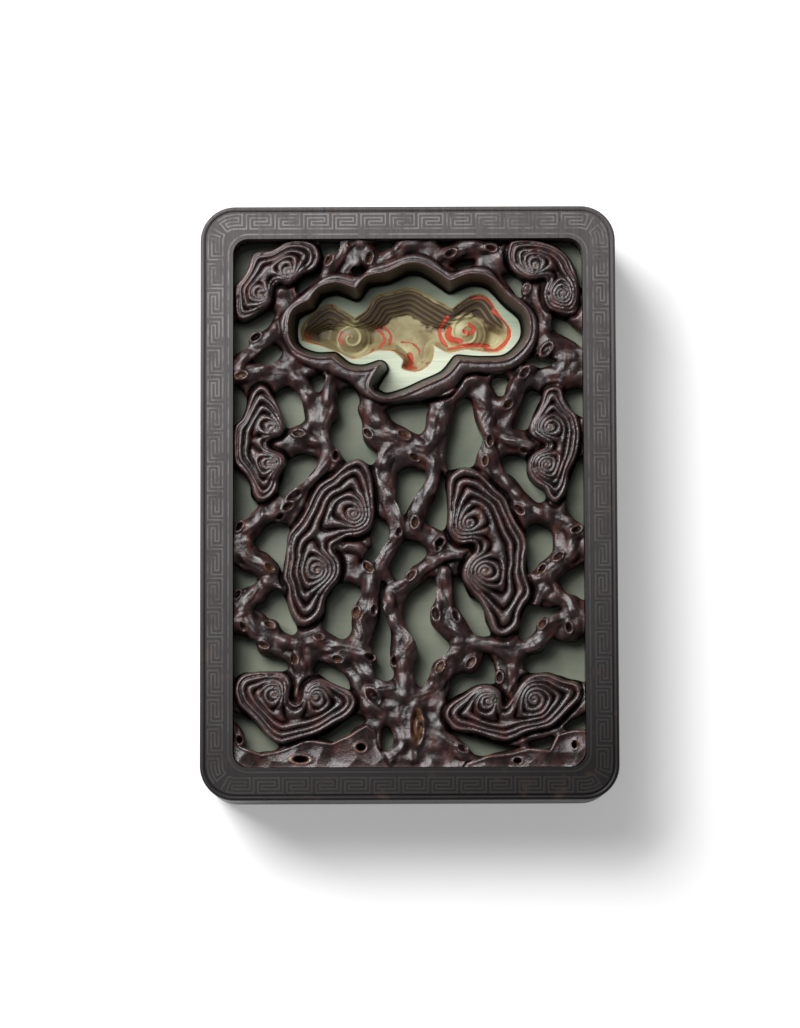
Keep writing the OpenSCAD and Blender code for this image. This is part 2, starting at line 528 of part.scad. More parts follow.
module openwork_panel() {
    crest = all_at(lobe_ring(collar_lobes, 2));
    sill = shifted_ring(crest, -window_slope, 2);
    m = len(crest);
    color("#3a2522") translate([0, 0, panel_z]) difference() {
        union() {
            difference() {
                slab(panel_w, panel_l, opening_r, 0, panel_t);
                slab(opening_w, opening_l, opening_r, -cut, panel_t + cut);
            }
            intersection() {
                union() {
                    for (b = limbs) limb(b[0], b[1]);
                    for (h = heads) fungus(h);
                    for (s = scrolls) translate(at(s[0]))
                        linear_extrude(head_h + size(0.3)) mirror([s[2] < 0 ? 1 : 0, 0])
                            scroll_ridge(size(s[1]), 1.25, size(0.8));
                    for (k = knots) translate(at(k[0])) knot(size(k[1]));
                    rocks(left_rocks);
                    rocks(right_rocks);
                    linear_extrude(collar_h - size(1))
                        polygon(all_at(ring_curve(collar_foot, 2)));
                    linear_extrude(collar_h) offset(delta = -size(1))
                        polygon(all_at(ring_curve(collar_foot, 2)));
                }
                // What runs on under the lid's border is cut down to the board's edge
                union() {
                    slab(panel_w, panel_l, opening_r, 0, panel_t);
                    slab(opening_w - 2 * panel_gap, opening_l - 2 * panel_gap,
                        opening_r - panel_gap, 0, collar_h + cut);
                }
            }
        }
        // Cloud window, narrower at the underside than at its crest
        polyhedron([for (q = sill) [q.x, q.y, -1], for (q = sill) [q.x, q.y, 0],
                for (q = crest) [q.x, q.y, collar_h + cut]],
            [[for (i = [m - 1 : -1 : 0]) i], [for (i = [0 : m - 1]) 2 * m + i],
                for (i = [0 : m - 1], k = [0, m]) each [[i + k, (i + 1) % m + k + m, i + k + m],
                    [i + k, (i + 1) % m + k, (i + 1) % m + k + m]]]);
        for (h = rock_holes) translate([at(h[0]).x, at(h[0]).y, size(2)])
            scale([size(h[1]), size(h[2]), 1]) cylinder(r = 1, h = collar_h, $fn = 10);
    }
}

base_tray();
foot(-1, -1);  // foot_front_left
foot(1, -1);  // foot_front_right
foot(-1, 1);  // foot_back_left
foot(1, 1);  // foot_back_right
inkstone();
lid_frame();
openwork_panel();
fret_wire(2);  // fret_wire_front
fret_wire(0);  // fret_wire_back
fret_wire(1);  // fret_wire_left
fret_wire(3);  // fret_wire_right
line_wire();
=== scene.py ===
"""Looks of the inkstone box: pierced and carved wooden lid, silver key fret, green stone.

The drawn outlines and routes are millimetres from the middle of the lid's opening, +x right
and +y towards the ink pool. Heights of the carving are millimetres above the underside of the
openwork board. Everything is turned into metres when a mesh is made.
"""
import math

import bpy
import numpy as np
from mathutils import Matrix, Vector


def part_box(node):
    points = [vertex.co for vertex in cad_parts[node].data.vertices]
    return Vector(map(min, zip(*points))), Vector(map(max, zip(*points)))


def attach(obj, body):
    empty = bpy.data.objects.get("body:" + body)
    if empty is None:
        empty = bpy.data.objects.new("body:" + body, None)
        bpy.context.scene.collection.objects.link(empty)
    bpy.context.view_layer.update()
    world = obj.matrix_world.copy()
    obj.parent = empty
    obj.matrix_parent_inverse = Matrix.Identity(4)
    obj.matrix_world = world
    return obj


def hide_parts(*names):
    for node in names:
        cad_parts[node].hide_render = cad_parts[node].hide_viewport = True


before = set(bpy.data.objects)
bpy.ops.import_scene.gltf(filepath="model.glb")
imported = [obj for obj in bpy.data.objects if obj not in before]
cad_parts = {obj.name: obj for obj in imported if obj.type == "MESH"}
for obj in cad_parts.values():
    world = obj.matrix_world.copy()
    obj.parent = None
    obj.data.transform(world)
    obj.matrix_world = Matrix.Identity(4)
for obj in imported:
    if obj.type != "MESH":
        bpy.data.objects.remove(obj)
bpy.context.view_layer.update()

MM = 0.001
BOARD_LOW, BOARD_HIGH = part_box("openwork_panel")
STONE_LOW, STONE_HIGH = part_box("inkstone")
LID_LOW, LID_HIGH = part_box("lid_frame")

# ---- sizes in millimetres ----

BORDER = 8.0
OPENING_R = 3.8
OPENING_W = (LID_HIGH.x - LID_LOW.x) / MM - 2 * BORDER
OPENING_L = (LID_HIGH.y - LID_LOW.y) / MM - 2 * BORDER
BOARD_Z = BOARD_LOW.z / MM
BOARD_W = (BOARD_HIGH.x - BOARD_LOW.x) / MM
BOARD_L = (BOARD_HIGH.y - BOARD_LOW.y) / MM
BOARD_EDGE_T = 3.4
BOARD_LEAST_T = 0.4
BOARD_GAP = 0.1
COLLAR_H = 6.9
HEAD_H = 6.4
LIMB_H = 5.6
ROCK_H = 5.3
WINDOW_SLOPE = 2.2
CARVE_CELL = 0.2

STONE_W = (STONE_HIGH.x - STONE_LOW.x) / MM
STONE_L = (STONE_HIGH.y - STONE_LOW.y) / MM
STONE_TOP = STONE_HIGH.z / MM
STONE_FOOT = STONE_LOW.z / MM
STONE_R = 4.0
STONE_EDGE = 1.0
HOLLOW_D = 1.0
HOLLOW_RIM = 8.0
POOL_D = 5.0

# ---- drawn carving ----

# Crest of the cloud collar, lobe by lobe, clockwise from the lower left
COLLAR_LOBES = [
    [[-18.5, 35.8], [-23, 35.8], [-27.5, 37.7], [-29.4, 41.5], [-28.6, 47.2], [-24.4, 49.9]],
    [[-24.4, 49.9], [-22, 53], [-17.5, 54.2], [-12.9, 52.7]],
    [[-12.9, 52.7], [-10.3, 55.7], [-5, 56.9], [0, 59], [4.5, 58.4], [10.4, 54.5]],
    [[10.4, 54.5], [15.5, 56.3], [20.5, 55.3], [25, 50.8], [29.3, 46.5], [29.6, 40.5], [25, 35.4],
        [18.5, 34.6], [12.5, 35]],
    [[12.5, 35], [9.3, 31.3], [4, 28.8], [-1, 26.6], [-6, 25.6], [-9.6, 28.5], [-7, 33.7]],
    [[-7, 33.7], [-11, 32.6], [-15, 33.2], [-18.5, 35.8]]]

# Foot of the collar on its outer side
COLLAR_FOOT = [[-31.9, 42.5], [-30.8, 47], [-27.5, 50.3], [-23.5, 53.5], [-20, 56.2], [-16.5, 56.8],
    [-12, 56], [-9, 58.4], [-4, 60], [1, 61.6], [5.5, 60.8], [10.5, 57], [15, 58], [20, 57.8], [24, 53],
    [28.5, 49.6], [31.5, 46], [32.2, 41.5], [30.3, 36.5], [26.5, 33], [21, 31.5], [15, 31.6], [11.5, 28],
    [6, 25.7], [0, 25], [-6, 24.3], [-10.5, 26], [-14.5, 29.5], [-20, 31.8], [-25.5, 34], [-29.3, 37]]

# Cloud outline of the ink pool, lobe by lobe, clockwise from the left
POOL_LOBES = [
    [[-26.3, 40.7], [-26.5, 43.8], [-24, 47.3], [-19.5, 50], [-16, 48.3], [-13, 46.3]],
    [[-13, 46.3], [-10.3, 48.3], [-8, 52], [-4, 53], [1, 54], [5.5, 51.8], [11, 48.6]],
    [[11, 48.6], [15, 51.5], [19, 52], [22.5, 47.5], [25.5, 42.5], [22.5, 37.8], [15, 38.5], [10, 37.8],
        [6.5, 39.5]],
    [[6.5, 39.5], [5.8, 35.5], [2.5, 33.1], [-1.4, 33.8], [-1.2, 36], [-3.5, 38.2]],
    [[-3.5, 38.2], [-7.5, 38.3], [-13, 36.3], [-17, 37.8], [-21, 39.3], [-26.3, 40.7]]]
# Scrolls left standing in the pool: centre and radius
POOL_SCROLLS = [[[-14, 41.6], 3.6], [[14.6, 43], 4.1]]

# Outlines of the fungus heads
HEADS = [
    [[-42.7, 53.5], [-41, 55.5], [-39.5, 58], [-39, 60], [-38, 61.8], [-36.5, 62.3], [-34, 62.5],
        [-32, 63.5], [-30, 64.7], [-27.5, 65.2], [-25, 65], [-23, 64.2], [-21.7, 62.5], [-21.3, 60.5],
        [-22, 58.5], [-23.5, 57.3], [-25.5, 56.5], [-27, 55.3], [-28.5, 54], [-30, 53.5], [-31.5, 54.2],
        [-33, 52.5], [-33.3, 50], [-34, 48.5], [-36, 47.3], [-38, 46], [-40, 45], [-41.5, 45.2],
        [-42.5, 47], [-42.8, 50]],
    [[25, 64.5], [28, 65.2], [31, 65], [34, 64.3], [37, 63], [39.5, 60.8], [41, 58], [42, 55], [42.3, 52],
        [42, 48.5], [41.2, 46.5], [40, 46], [38, 46.2], [36, 46.8], [34.3, 47.5], [33.5, 49], [33, 51],
        [33.3, 53], [34, 54.8], [33, 55], [31, 54.6], [29, 55], [27, 56], [25.5, 57.5], [24.5, 59.5],
        [24.3, 62]],
    [[-36.5, 29.2], [-34.5, 28.5], [-33.3, 26.5], [-32, 24.5], [-31, 22], [-30.2, 19.5], [-30.3, 17.5],
        [-31.5, 16], [-33.5, 15.5], [-34.3, 14.3], [-33, 13], [-31.5, 12.5], [-30, 11.5], [-29.9, 9.5],
        [-31, 8], [-32, 6], [-32, 3.5], [-33, 1.5], [-35, 0.2], [-36.8, 0.3], [-38, 2], [-38.5, 4],
        [-39.5, 6.3], [-41.5, 8.3], [-42.7, 10], [-43, 13], [-43, 17], [-42.3, 19.5], [-41, 20.5],
        [-40, 22.5], [-39.2, 25.5], [-38.3, 28]],
    [[36, 28.8], [38, 27.8], [38.5, 25.5], [39.5, 23.5], [41, 22], [41.8, 20], [42.3, 17], [42, 14],
        [41.3, 11], [40.3, 9], [39.3, 7], [39, 4.5], [38.3, 2], [37, 0], [36, -1], [34.7, 0], [33.8, 1.5],
        [33.3, 3], [31.5, 4], [30, 5.5], [29, 8], [29.3, 10.5], [30.5, 12.2], [32, 13], [33.5, 13.8],
        [31.5, 15], [30, 16], [29.5, 18], [30, 20], [31.3, 22], [32.5, 24.5], [33, 27], [34.3, 28.5]],
    [[-12.5, 11], [-10.5, 10], [-9.3, 8], [-8.7, 5], [-8.4, 2], [-8.2, -1], [-8.3, -4], [-9.2, -6.5],
        [-11, -8.2], [-13, -9], [-15, -9], [-17, -10.5], [-18, -11.5], [-16.5, -14], [-16.3, -17],
        [-17.3, -19.5], [-19, -21.5], [-20.5, -24], [-21, -27], [-22.5, -29.3], [-25, -30.7],
        [-27, -30.3], [-28.5, -28.5], [-29.5, -26], [-30, -23.5], [-30, -21], [-31, -19], [-30.8, -17],
        [-30.2, -14], [-30, -11], [-29.7, -8], [-28.5, -6.3], [-27, -4.5], [-26, -3], [-25, -1],
        [-24, 1.5], [-22.5, 4], [-20.5, 5.8], [-18.5, 7], [-17, 8.5], [-15.3, 10.2]],
    [[13, 8.7], [16, 8.2], [18, 7], [20, 5], [22, 3], [24, 1], [25, -1.5], [26, -4], [27.5, -6.5],
        [28.7, -8.5], [29, -11], [28.5, -14], [28.5, -17], [29, -19], [30, -21.5], [29.7, -24],
        [28.3, -26], [27.3, -28], [27, -30.5], [25.5, -32.5], [23.5, -33.5], [21.5, -33], [20, -31.5],
        [19, -29], [18.3, -26.5], [17.3, -24.5], [15.5, -22.5], [13.5, -20], [12.8, -18], [13.2, -15.5],
        [14.5, -13.3], [16, -12], [15.5, -10.5], [12.5, -10.8], [10.5, -9.5], [9.5, -7.5], [9.3, -5],
        [9.5, -2], [9.3, 2], [9.3, 5], [10.5, 7.5]],
    [[-42.8, -47], [-42.5, -44.5], [-41.5, -42.7], [-39.5, -41.7], [-36.5, -41.3], [-33, -41.3],
        [-30.8, -41.6], [-29.3, -42.8], [-28.6, -44.5], [-28.8, -46], [-29, -48], [-27.8, -49],
        [-26.5, -48], [-26.2, -46], [-25.3, -44.3], [-23.5, -43.2], [-21.5, -43], [-19.5, -43.8],
        [-17, -45], [-14.5, -46], [-13.2, -47.5], [-12.8, -49.5], [-13.7, -51.5], [-15.5, -53],
        [-18, -54.3], [-20.5, -55.8], [-23, -57], [-26, -57.8], [-29, -58.8], [-31, -59.3], [-33, -58.5],
        [-35, -57], [-36.5, -55], [-38.3, -53], [-40.5, -51], [-42.3, -49.3]],
    [[8.3, -53], [8.8, -50.5], [10.5, -48.8], [13, -47.3], [15, -45.8], [17, -44.8], [19.5, -44.8],
        [21.8, -45.8], [22.7, -47.5], [22.8, -50], [24, -49], [25.3, -47], [26.5, -45], [28, -43.3],
        [30, -42.2], [33, -41.8], [35.5, -42.5], [38, -43.7], [40.5, -44], [42, -45], [42.2, -47.5],
        [41, -49.5], [39, -51.5], [37, -53.5], [34.5, -55.3], [31.5, -56], [28.5, -56.8], [26, -58],
        [23.5, -58.8], [21, -58.3], [18, -57.2], [15, -56.5], [12, -56.5], [9.7, -55.5]]]

# Scrolls of each head in turn, two to a head: centre, radius, and turn (1 left, -1 right)
SCROLLS = [[[-29.5, 57], 3.5, -1], [[-36, 51.3], 2.8, 1], [[31.5, 58], 3.5, 1], [[38.2, 51.3], 3.2, -1],
    [[-33.3, 18], 2.7, -1], [[-33.8, 9.3], 3, 1], [[34.8, 18], 2.8, 1], [[34, 9], 3.2, -1],
    [[-13.3, -3], 4.5, -1], [[-22.3, -17], 4.5, 1], [[14.8, -5.5], 4, 1], [[18.7, -17.3], 4, -1],
    [[-32.8, -47.2], 2.8, -1], [[-22.8, -47.8], 3.2, 1], [[19.5, -49], 3, -1], [[30.3, -48.5], 3.8, 1]]

# Gaps of the openwork, each a closed outline, from the far end of the lid to the near;
# those that reach the lid's border run on beneath it
GAPS = [
    [[-44, 53.9], [-41, 55.2], [-39.3, 58.2], [-38.5, 61.3], [-35.5, 62.5], [-32.3, 63.4], [-31.4, 66],
        [-44, 66]],
    [[-21.6, 66], [-17.3, 66], [-16.9, 62.8], [-18.4, 60.8], [-20.3, 60.6], [-21.4, 62.3]],
    [[-21.6, 58], [-21.4, 56.8], [-24, 54.2], [-26.8, 51.9], [-27.9, 52.9], [-26.8, 55], [-24, 56.8]],
    [[-14.3, 57.5], [-13, 58.5], [-11, 58.2], [-10.6, 57.1], [-12.1, 56.2], [-13.8, 56.3]],
    [[-8.8, 64.2], [-6, 65], [-3.3, 64.5], [-4, 63.2], [-6, 62.6], [-8, 63.1]],
    [[7.9, 64.6], [9.2, 65.2], [11.3, 64.9], [10.2, 63.8], [8.8, 63.5]],
    [[10.9, 58.7], [13, 60], [16.4, 60.3], [16.2, 58.9], [14.2, 58.2], [12.3, 57.7]],
    [[21.6, 64.9], [23.9, 65.2], [23.3, 63.5], [22.2, 63.4]],
    [[23.5, 56], [24.6, 57.1], [26.8, 56.2], [28.5, 54.4], [28, 52.6], [28.6, 51.1], [27, 51],
        [25.3, 53.2]],
    [[34.2, 66], [44, 66], [44, 53.5], [42.3, 54.2], [41.7, 57.8], [39.8, 61], [37, 63.4], [34.4, 64.6]],
    [[-44, 44.6], [-40, 44.8], [-36, 46.8], [-33.6, 48.2], [-32.8, 46.3], [-34.2, 43.7], [-36, 42.3],
        [-38.9, 40.3], [-39.4, 38.6], [-41, 37.6], [-44, 36.6]],
    [[-38.3, 34.9], [-37, 37], [-34.6, 38.7], [-32.4, 39.6], [-30.9, 37.4], [-32.3, 34.8], [-35, 33.8]],
    [[35, 43.3], [35.3, 45.5], [37, 46.1], [39.3, 45.2], [41.5, 43.2], [44, 40.6], [44, 37], [41, 39.8],
        [38.5, 41.3], [36.5, 42]],
    [[28.8, 34.7], [30.3, 36], [33.5, 36.3], [36.6, 35], [34.3, 33.5], [30.8, 33.3]],
    [[-33, 25.9], [-31.5, 28.2], [-28.7, 28.8], [-26.6, 26.5], [-25.8, 22.5], [-25.7, 20.4], [-28, 19],
        [-30, 18.8], [-31.4, 22.5]],
    [[-24.2, 30.6], [-22, 32], [-20.2, 31.3], [-20.6, 28.8], [-22, 27.3], [-23.8, 28.3]],
    [[-17.6, 26], [-15.8, 28.6], [-13.2, 28.3], [-11.9, 25.5], [-12.4, 23], [-11.3, 19.5], [-11.2, 16],
        [-9.5, 13.5], [-7.5, 12], [-9, 9.3], [-12.5, 11], [-15, 10.2], [-17, 12.3], [-19.2, 15],
        [-19.2, 18.3], [-17.2, 21.2], [-17, 23.7]],
    [[-29.8, 10.5], [-27.5, 12], [-24.8, 12.2], [-22.6, 11.2], [-22.3, 9], [-24, 7], [-25.6, 5.2],
        [-28.5, 2.8], [-31, 1.4], [-32, 3], [-30.8, 6.5]],
    [[-44, 29], [-40.8, 28.3], [-39.6, 26], [-40.3, 23], [-41.5, 20.5], [-44, 19.8]],
    [[-44, 8.5], [-41, 7.6], [-39.4, 5], [-38.5, 1.8], [-37, -0.4], [-38.3, -2.4], [-40, -4.2],
        [-44, -4.8]],
    [[-5.3, 22.8], [-3, 24.2], [1, 24.7], [4.9, 24.4], [4.4, 21.5], [4, 18.5], [2.8, 16.9], [0.5, 17.8],
        [-2.5, 19.3], [-4.8, 21.2]],
    [[-2.6, 7.5], [-1, 8.8], [2, 8.6], [4.6, 7.2], [3.6, 4.6], [1.5, 1.4], [0, -1], [-1.2, -3.2],
        [-2.3, -1.5], [-3.2, 1], [-3, 4.5]],
    [[11.8, 24.8], [14, 26], [15.8, 24.5], [16.5, 21], [17.3, 18.3], [18.2, 15.8], [17.3, 13], [15.8, 9],
        [12.5, 8.8], [9.9, 8.1], [9, 11.5], [9.5, 15.5], [11, 20]],
    [[20.2, 29.5], [21.5, 31.2], [24.5, 30.8], [24.2, 28.4], [23.4, 26.2], [21.4, 26.6]],
    [[32.8, 26.2], [31, 28], [29.2, 27.3], [28, 24.5], [26.5, 21], [25.8, 18.4], [28.3, 17.8], [29.8, 19],
        [30.7, 22]],
    [[38.6, 26.5], [39.8, 28.2], [44, 28], [44, 21], [41.7, 21.6], [39.5, 24]],
    [[22.6, 9.5], [24, 11.8], [27, 11.6], [29.1, 10.2], [29.2, 7.3], [30.4, 5], [33.2, 3], [33.7, 0.9],
        [31.8, 0], [29.4, 1.6], [27.2, 4.6], [25.2, 6.9], [23, 7.4]],
    [[41.2, 9.9], [44, 10.8], [44, -5.2], [41.6, -5], [40, -3.3], [38.8, -1.4], [38.6, 1.5], [39.4, 5.5]],
    [[8.4, 7.2], [9.1, 4], [9.5, -0.5], [9.3, -5], [8.3, -6.8], [6.2, -6], [4.2, -4.8], [5, -1.6],
        [6.6, 1.6], [7.6, 5]],
    [[-38.2, -9.8], [-36.5, -7.2], [-34.7, -5.3], [-31.5, -4.7], [-29.3, -5.8], [-29.8, -10],
        [-30.3, -14], [-31, -17], [-32.2, -14.6], [-34.5, -12.5], [-37, -11.3]],
    [[-44, -15.3], [-40.5, -16.4], [-38, -17.5], [-37.3, -19], [-39, -20.4], [-44, -21.6]],
    [[-37.6, -25.6], [-35.3, -24], [-33.8, -21.6], [-31.2, -21.2], [-30.2, -24], [-28.8, -28],
        [-27.4, -31], [-28.5, -32.4], [-31, -31.3], [-32.6, -29], [-35, -28.3]],
    [[-8.2, -3.6], [-6.3, -3.9], [-5, -6], [-5, -8.7], [-6.5, -11.3], [-7.8, -13.7], [-9.6, -15.5],
        [-11.8, -14.6], [-10.6, -12.2], [-9.2, -10], [-9.6, -7]],
    [[-18.2, -20.5], [-15.5, -19.4], [-12.5, -20.6], [-11.4, -22.4], [-13.2, -25.2], [-14, -28.5],
        [-14.2, -31.5], [-16, -33.4], [-19, -32.4], [-21, -30.3], [-20.4, -26.5], [-20, -23]],
    [[-1.4, -9.3], [1.5, -9.2], [3.8, -10.5], [4.2, -12.7], [2.5, -14.8], [0.6, -16.3], [-0.8, -18.6],
        [-2.8, -19.3], [-4.3, -17.3], [-4.2, -14.3], [-2.5, -11.5]],
    [[-6.9, -19.3], [-5.7, -20.2], [-6.3, -23.5], [-6, -26.5], [-5, -29.5], [-4.5, -33.5], [-4.5, -37.5],
        [-3.6, -42.2], [-5, -43.9], [-7.6, -43.3], [-9, -40.8], [-8.9, -37.5], [-9.6, -34.5],
        [-8.4, -31.5], [-7.3, -28], [-7.2, -23.5]],
    [[5, -18.3], [6.6, -19.5], [6.5, -23.5], [5.1, -27], [5.4, -30], [8, -32.4], [10.1, -35],
        [8.5, -37.8], [6.1, -39.5], [5, -42.6], [3, -45.1], [1.3, -43.5], [0.8, -41], [2, -37.5],
        [1.6, -34.3], [-0.4, -31.5], [-1.5, -27.5], [-0.7, -24], [1.8, -20.6]],
    [[10.9, -18.5], [12.6, -18.7], [14.8, -22.8], [17.6, -25], [18.8, -29], [20, -32.4], [17.5, -33],
        [15.5, -32], [13.8, -28.7], [12.3, -26.2], [10.9, -24.5]],
    [[29, -6.5], [31.5, -5.2], [34.4, -6.6], [35.4, -9.5], [35, -12.6], [32.4, -14.8], [30.6, -17],
        [29.2, -17.3], [28.8, -13], [28.8, -9.5]],
    [[36.6, -19.5], [38.3, -17.6], [40.7, -16], [44, -15], [44, -23.9], [40.5, -22.9], [37.8, -21.8]],
    [[29, -25], [31.5, -25.2], [34, -25.8], [37, -25.6], [36, -27.6], [33, -29], [31.2, -31],
        [29.3, -33.3], [27.2, -33.6], [27, -30], [28.2, -27]],
    [[-44, -32.6], [-39.5, -33], [-37.6, -34], [-36.7, -36.6], [-34.3, -37.4], [-30.2, -39],
        [-30.2, -41.1], [-36, -41.3], [-40.5, -41.8], [-44, -43]],
    [[-22.8, -41.5], [-22, -39], [-19.5, -39.6], [-16.5, -41.4], [-14.9, -43.5], [-14.8, -45.7],
        [-17.5, -45], [-20, -43.3]],
    [[9.2, -48.4], [13, -46.4], [17.5, -44.4], [21, -44.2], [21.3, -42], [20.2, -38.4], [18.5, -37],
        [17.7, -39.8], [15.8, -41.8], [12.3, -42], [10, -44.5]],
    [[34.6, -33.3], [37.5, -34], [40.5, -34.3], [44, -33], [44, -43.6], [39.5, -43.2], [36, -42.2],
        [32.5, -41.6], [29.3, -41.9], [28.2, -39.6], [29.8, -37.4], [33.5, -36]],
    [[-44, -50.6], [-40.5, -52], [-37.5, -54.3], [-35, -57.2], [-32, -59.4], [-34, -60.8], [-38, -61],
        [-40, -59.3], [-40.6, -55.8], [-44, -52.2]],
    [[-22.6, -57.7], [-19.5, -56.1], [-15.5, -53.4], [-13, -51.8], [-10.9, -53.3], [-13, -55],
        [-15.2, -57.2], [-19, -58.8]],
    [[-6.8, -56], [-5.6, -54.9], [-4.4, -55.8], [-3.8, -57.8], [-4.4, -60], [-5.8, -61], [-6.9, -60]],
    [[10, -56.3], [14, -56.9], [19, -58.5], [23, -59.7], [26.8, -60], [22, -61.1], [18.5, -62.2],
        [15.5, -61.7], [13.3, -58.8]],
    [[29, -59.3], [30.5, -58.3], [33, -57.8], [35, -57.5], [35.5, -59], [34.8, -60.3], [31.5, -60.4],
        [29.6, -60.2]],
    [[44, -51.8], [41, -52.8], [38.2, -54.8], [38.8, -55.6], [44, -55.5]]]

# Branches: width at each end, then the route
LIMBS = [
    [[10, 8], [[0, -62], [-0.5, -55], [-1, -48], [-1, -45]]],
    [[6, 4.4], [[-2, -47], [-6, -45], [-10, -41.5], [-12, -37], [-11, -31], [-10, -24], [-7.5, -16.5],
        [-3.8, -9], [-3.2, -3.5], [-6, 4], [-6.4, 9], [-5, 12.5]]],
    [[4.6, 4], [[-0.6, -47.5], [-0.6, -39], [0, -33.5], [-3, -30], [-5, -25]]],
    [[3.4, 2.8], [[-5.2, -26.2], [-4.4, -22], [0, -20], [4, -16], [10, -13], [14, -13]]],
    [[6, 4], [[1, -49], [5, -46], [9, -40], [13, -34], [9.6, -29.5], [8.5, -24], [8.5, -17.5]]],
    [[5, 3.5], [[-1, -58], [-3.5, -61.5], [-8, -64]]],
    [[5, 3.5], [[3, -55], [8, -57.5], [13, -61.5]]],
    [[4.2, 3.6], [[-4, -46], [-8, -46.4], [-10, -49.5], [-7, -52.5]]],
    [[5, 3.4], [[-8.5, 26], [-8.3, 21], [-5, 17.5], [0, 15], [6, 10.5], [5.5, 4.5], [2.5, 0],
        [1.5, -6.5]]],
    [[3.6, 3.4], [[-31, 44], [-35, 40], [-39.5, 36.5], [-43.5, 31.5]]],
    [[4, 5.6], [[-43.5, 31.2], [-37.5, 32.5], [-29.5, 33.4], [-26, 28], [-22.8, 23.5], [-22.5, 20]]],
    [[3.6, 3.4], [[-19.5, 31], [-19.5, 25], [-21, 18], [-19.8, 12.5], [-22.5, 6.5], [-28, 2.5],
        [-33, -1.5]]],
    [[3.2, 3.2], [[-32, 14.5], [-28.5, 16], [-24, 15.5], [-20.5, 14.5]]],
    [[4, 4.4], [[-33, -1.5], [-38, -4.5], [-40.8, -9.5], [-38.5, -14], [-34.2, -18], [-37.5, -22.2],
        [-40, -26.5], [-37, -32], [-30, -34.4], [-22, -34.5], [-15, -36], [-11, -37]]],
    [[4, 3.6], [[-40.4, -10], [-44.2, -9]]],
    [[4, 3.6], [[-40, -27], [-44.2, -29]]],
    [[3.6, 3], [[-27, -35], [-26.3, -41], [-27, -49]]],
    [[3.4, 3], [[-17.5, -10.5], [-12.5, -11.5], [-9, -15]]],
    [[3, 3], [[-30, -21], [-34.5, -19.5]]],
    [[3.6, 3.4], [[32.5, 55], [31.6, 51], [33.8, 46], [33.6, 41], [37, 37.5], [40, 36]]],
    [[7, 5], [[38, 36], [44, 35.5]]],
    [[4, 3.4], [[38.5, 35], [37.5, 31], [36, 27.5]]],
    [[3.4, 3.4], [[31, 44], [33.5, 42.5]]],
    [[6, 5], [[15.5, 31.5], [11, 27], [7.5, 23], [6.8, 18], [4, 13.5]]],
    [[4.6, 4.2], [[16, 30.5], [19, 23], [19.2, 15], [18.8, 8], [18, 3]]],
    [[3.4, 3.2], [[20, 17.5], [25, 15.6], [31, 14]]],
    [[3.4, 3.2], [[18.5, 24], [24, 24.5], [28.5, 31], [33.8, 37.5]]],
    [[3.4, 4.4], [[20, 13], [21.5, 8], [25, 3], [30, -2], [36, -4], [40.3, -7], [39.5, -12.8],
        [34.5, -17.5], [33.4, -21.5], [38.5, -24.5], [39.6, -29]]],
    [[4, 3.6], [[40, -8], [44.2, -6]]],
    [[4, 3.6], [[39.8, -27], [44.2, -29]]],
    [[3, 3], [[29, -19], [34, -19]]],
    [[3.2, 3], [[33.4, -21.5], [30, -25], [27.5, -28.5]]],
    [[4.4, 3.8], [[12, -34.5], [18, -34.8], [24, -36], [31, -34.5], [35.5, -29.3], [39.6, -27.5]]],
    [[3.4, 3], [[22, -36], [25.3, -40], [25, -47]]],
    [[3.4, 3.4], [[-14.5, 66.5], [-17, 61.5], [-20, 56]]],
    [[3.4, 3.4], [[-11, 66.5], [-12, 61], [-15, 56.5]]],
    [[5, 4], [[-7, 58], [-2, 62.5], [3, 66.5]]],
    [[4, 3.4], [[7, 60], [15, 63.5], [25, 62]]],
    [[3.2, 3], [[-30, 53.8], [-28.5, 51.5]]]]

# Cut twigs on the branches: centre and radius
KNOTS = [[[-19.5, 60], 1.3], [[-14, 64.5], 1.1], [[-9.5, 60.5], 1.3], [[10.5, 61.5], 1.3],
    [[20.5, 62.8], 1.2], [[29.2, 52.8], 1.2], [[34, 37.5], 1.6], [[28.5, 31.8], 1.4], [[-37.5, 41], 1.3],
    [[-41, 31.3], 1.3], [[-27, 17], 1.3], [[-17.8, 11.5], 1.2], [[-10, 17], 1.2], [[-1, 16.5], 1.4],
    [[1.5, 11], 1.1], [[24.5, 24], 1.3], [[20, 15], 1.2], [[18.7, 10], 1.1], [[28.5, 12.5], 1.1],
    [[-41.5, -5.8], 1.2], [[-29.5, -1], 1.3], [[-31.5, -3.5], 1], [[-34, -16], 1.2], [[-42, -22.5], 1.1],
    [[-34, -30], 1.2], [[-40.5, -30.5], 1.1], [[-2.5, -7.5], 1.1], [[-10, -16], 1.3], [[-13, -27], 1.2],
    [[-8.5, -26.5], 1.2], [[0.5, -18], 1.3], [[7.5, -10], 1.3], [[1.5, -5], 1.3], [[27, -2], 1.3],
    [[41, -7], 1.2], [[36.5, -13.5], 1.2], [[32.5, -16.5], 1.1], [[6.5, -27.5], 1.4], [[11.5, -28], 1.3],
    [[7.5, -40.5], 1.3], [[15, -39.5], 1.4], [[32.5, -30], 1.2], [[39, -31], 1.2], [[22, -43], 1.2],
    [[-35.5, -35], 1.1], [[-22, -33], 1.1], [[-17.5, -38.5], 1.2], [[-9.7, -38], 1.2], [[-3.7, -39], 1.1],
    [[-28, -38.5], 1.2]]

# Long cut faces of lopped branches: centre, half length, half width and heading in degrees
STUBS = [[[-28, 1.5], 2.6, 1.2, 35], [[7.5, -10.3], 2.3, 1.1, 70], [[-9, -47.5], 2.6, 1.5, 130],
    [[18.5, -40.5], 2, 1.2, 45], [[4.2, -22], 1.8, 1, 100], [[13, -60.3], 1.6, 1, -30]]

# Dark creases where one form lies over another
CREASES = [[[4, 25], [10.5, 26.3], [14, 31], [19.5, 31.7]]]

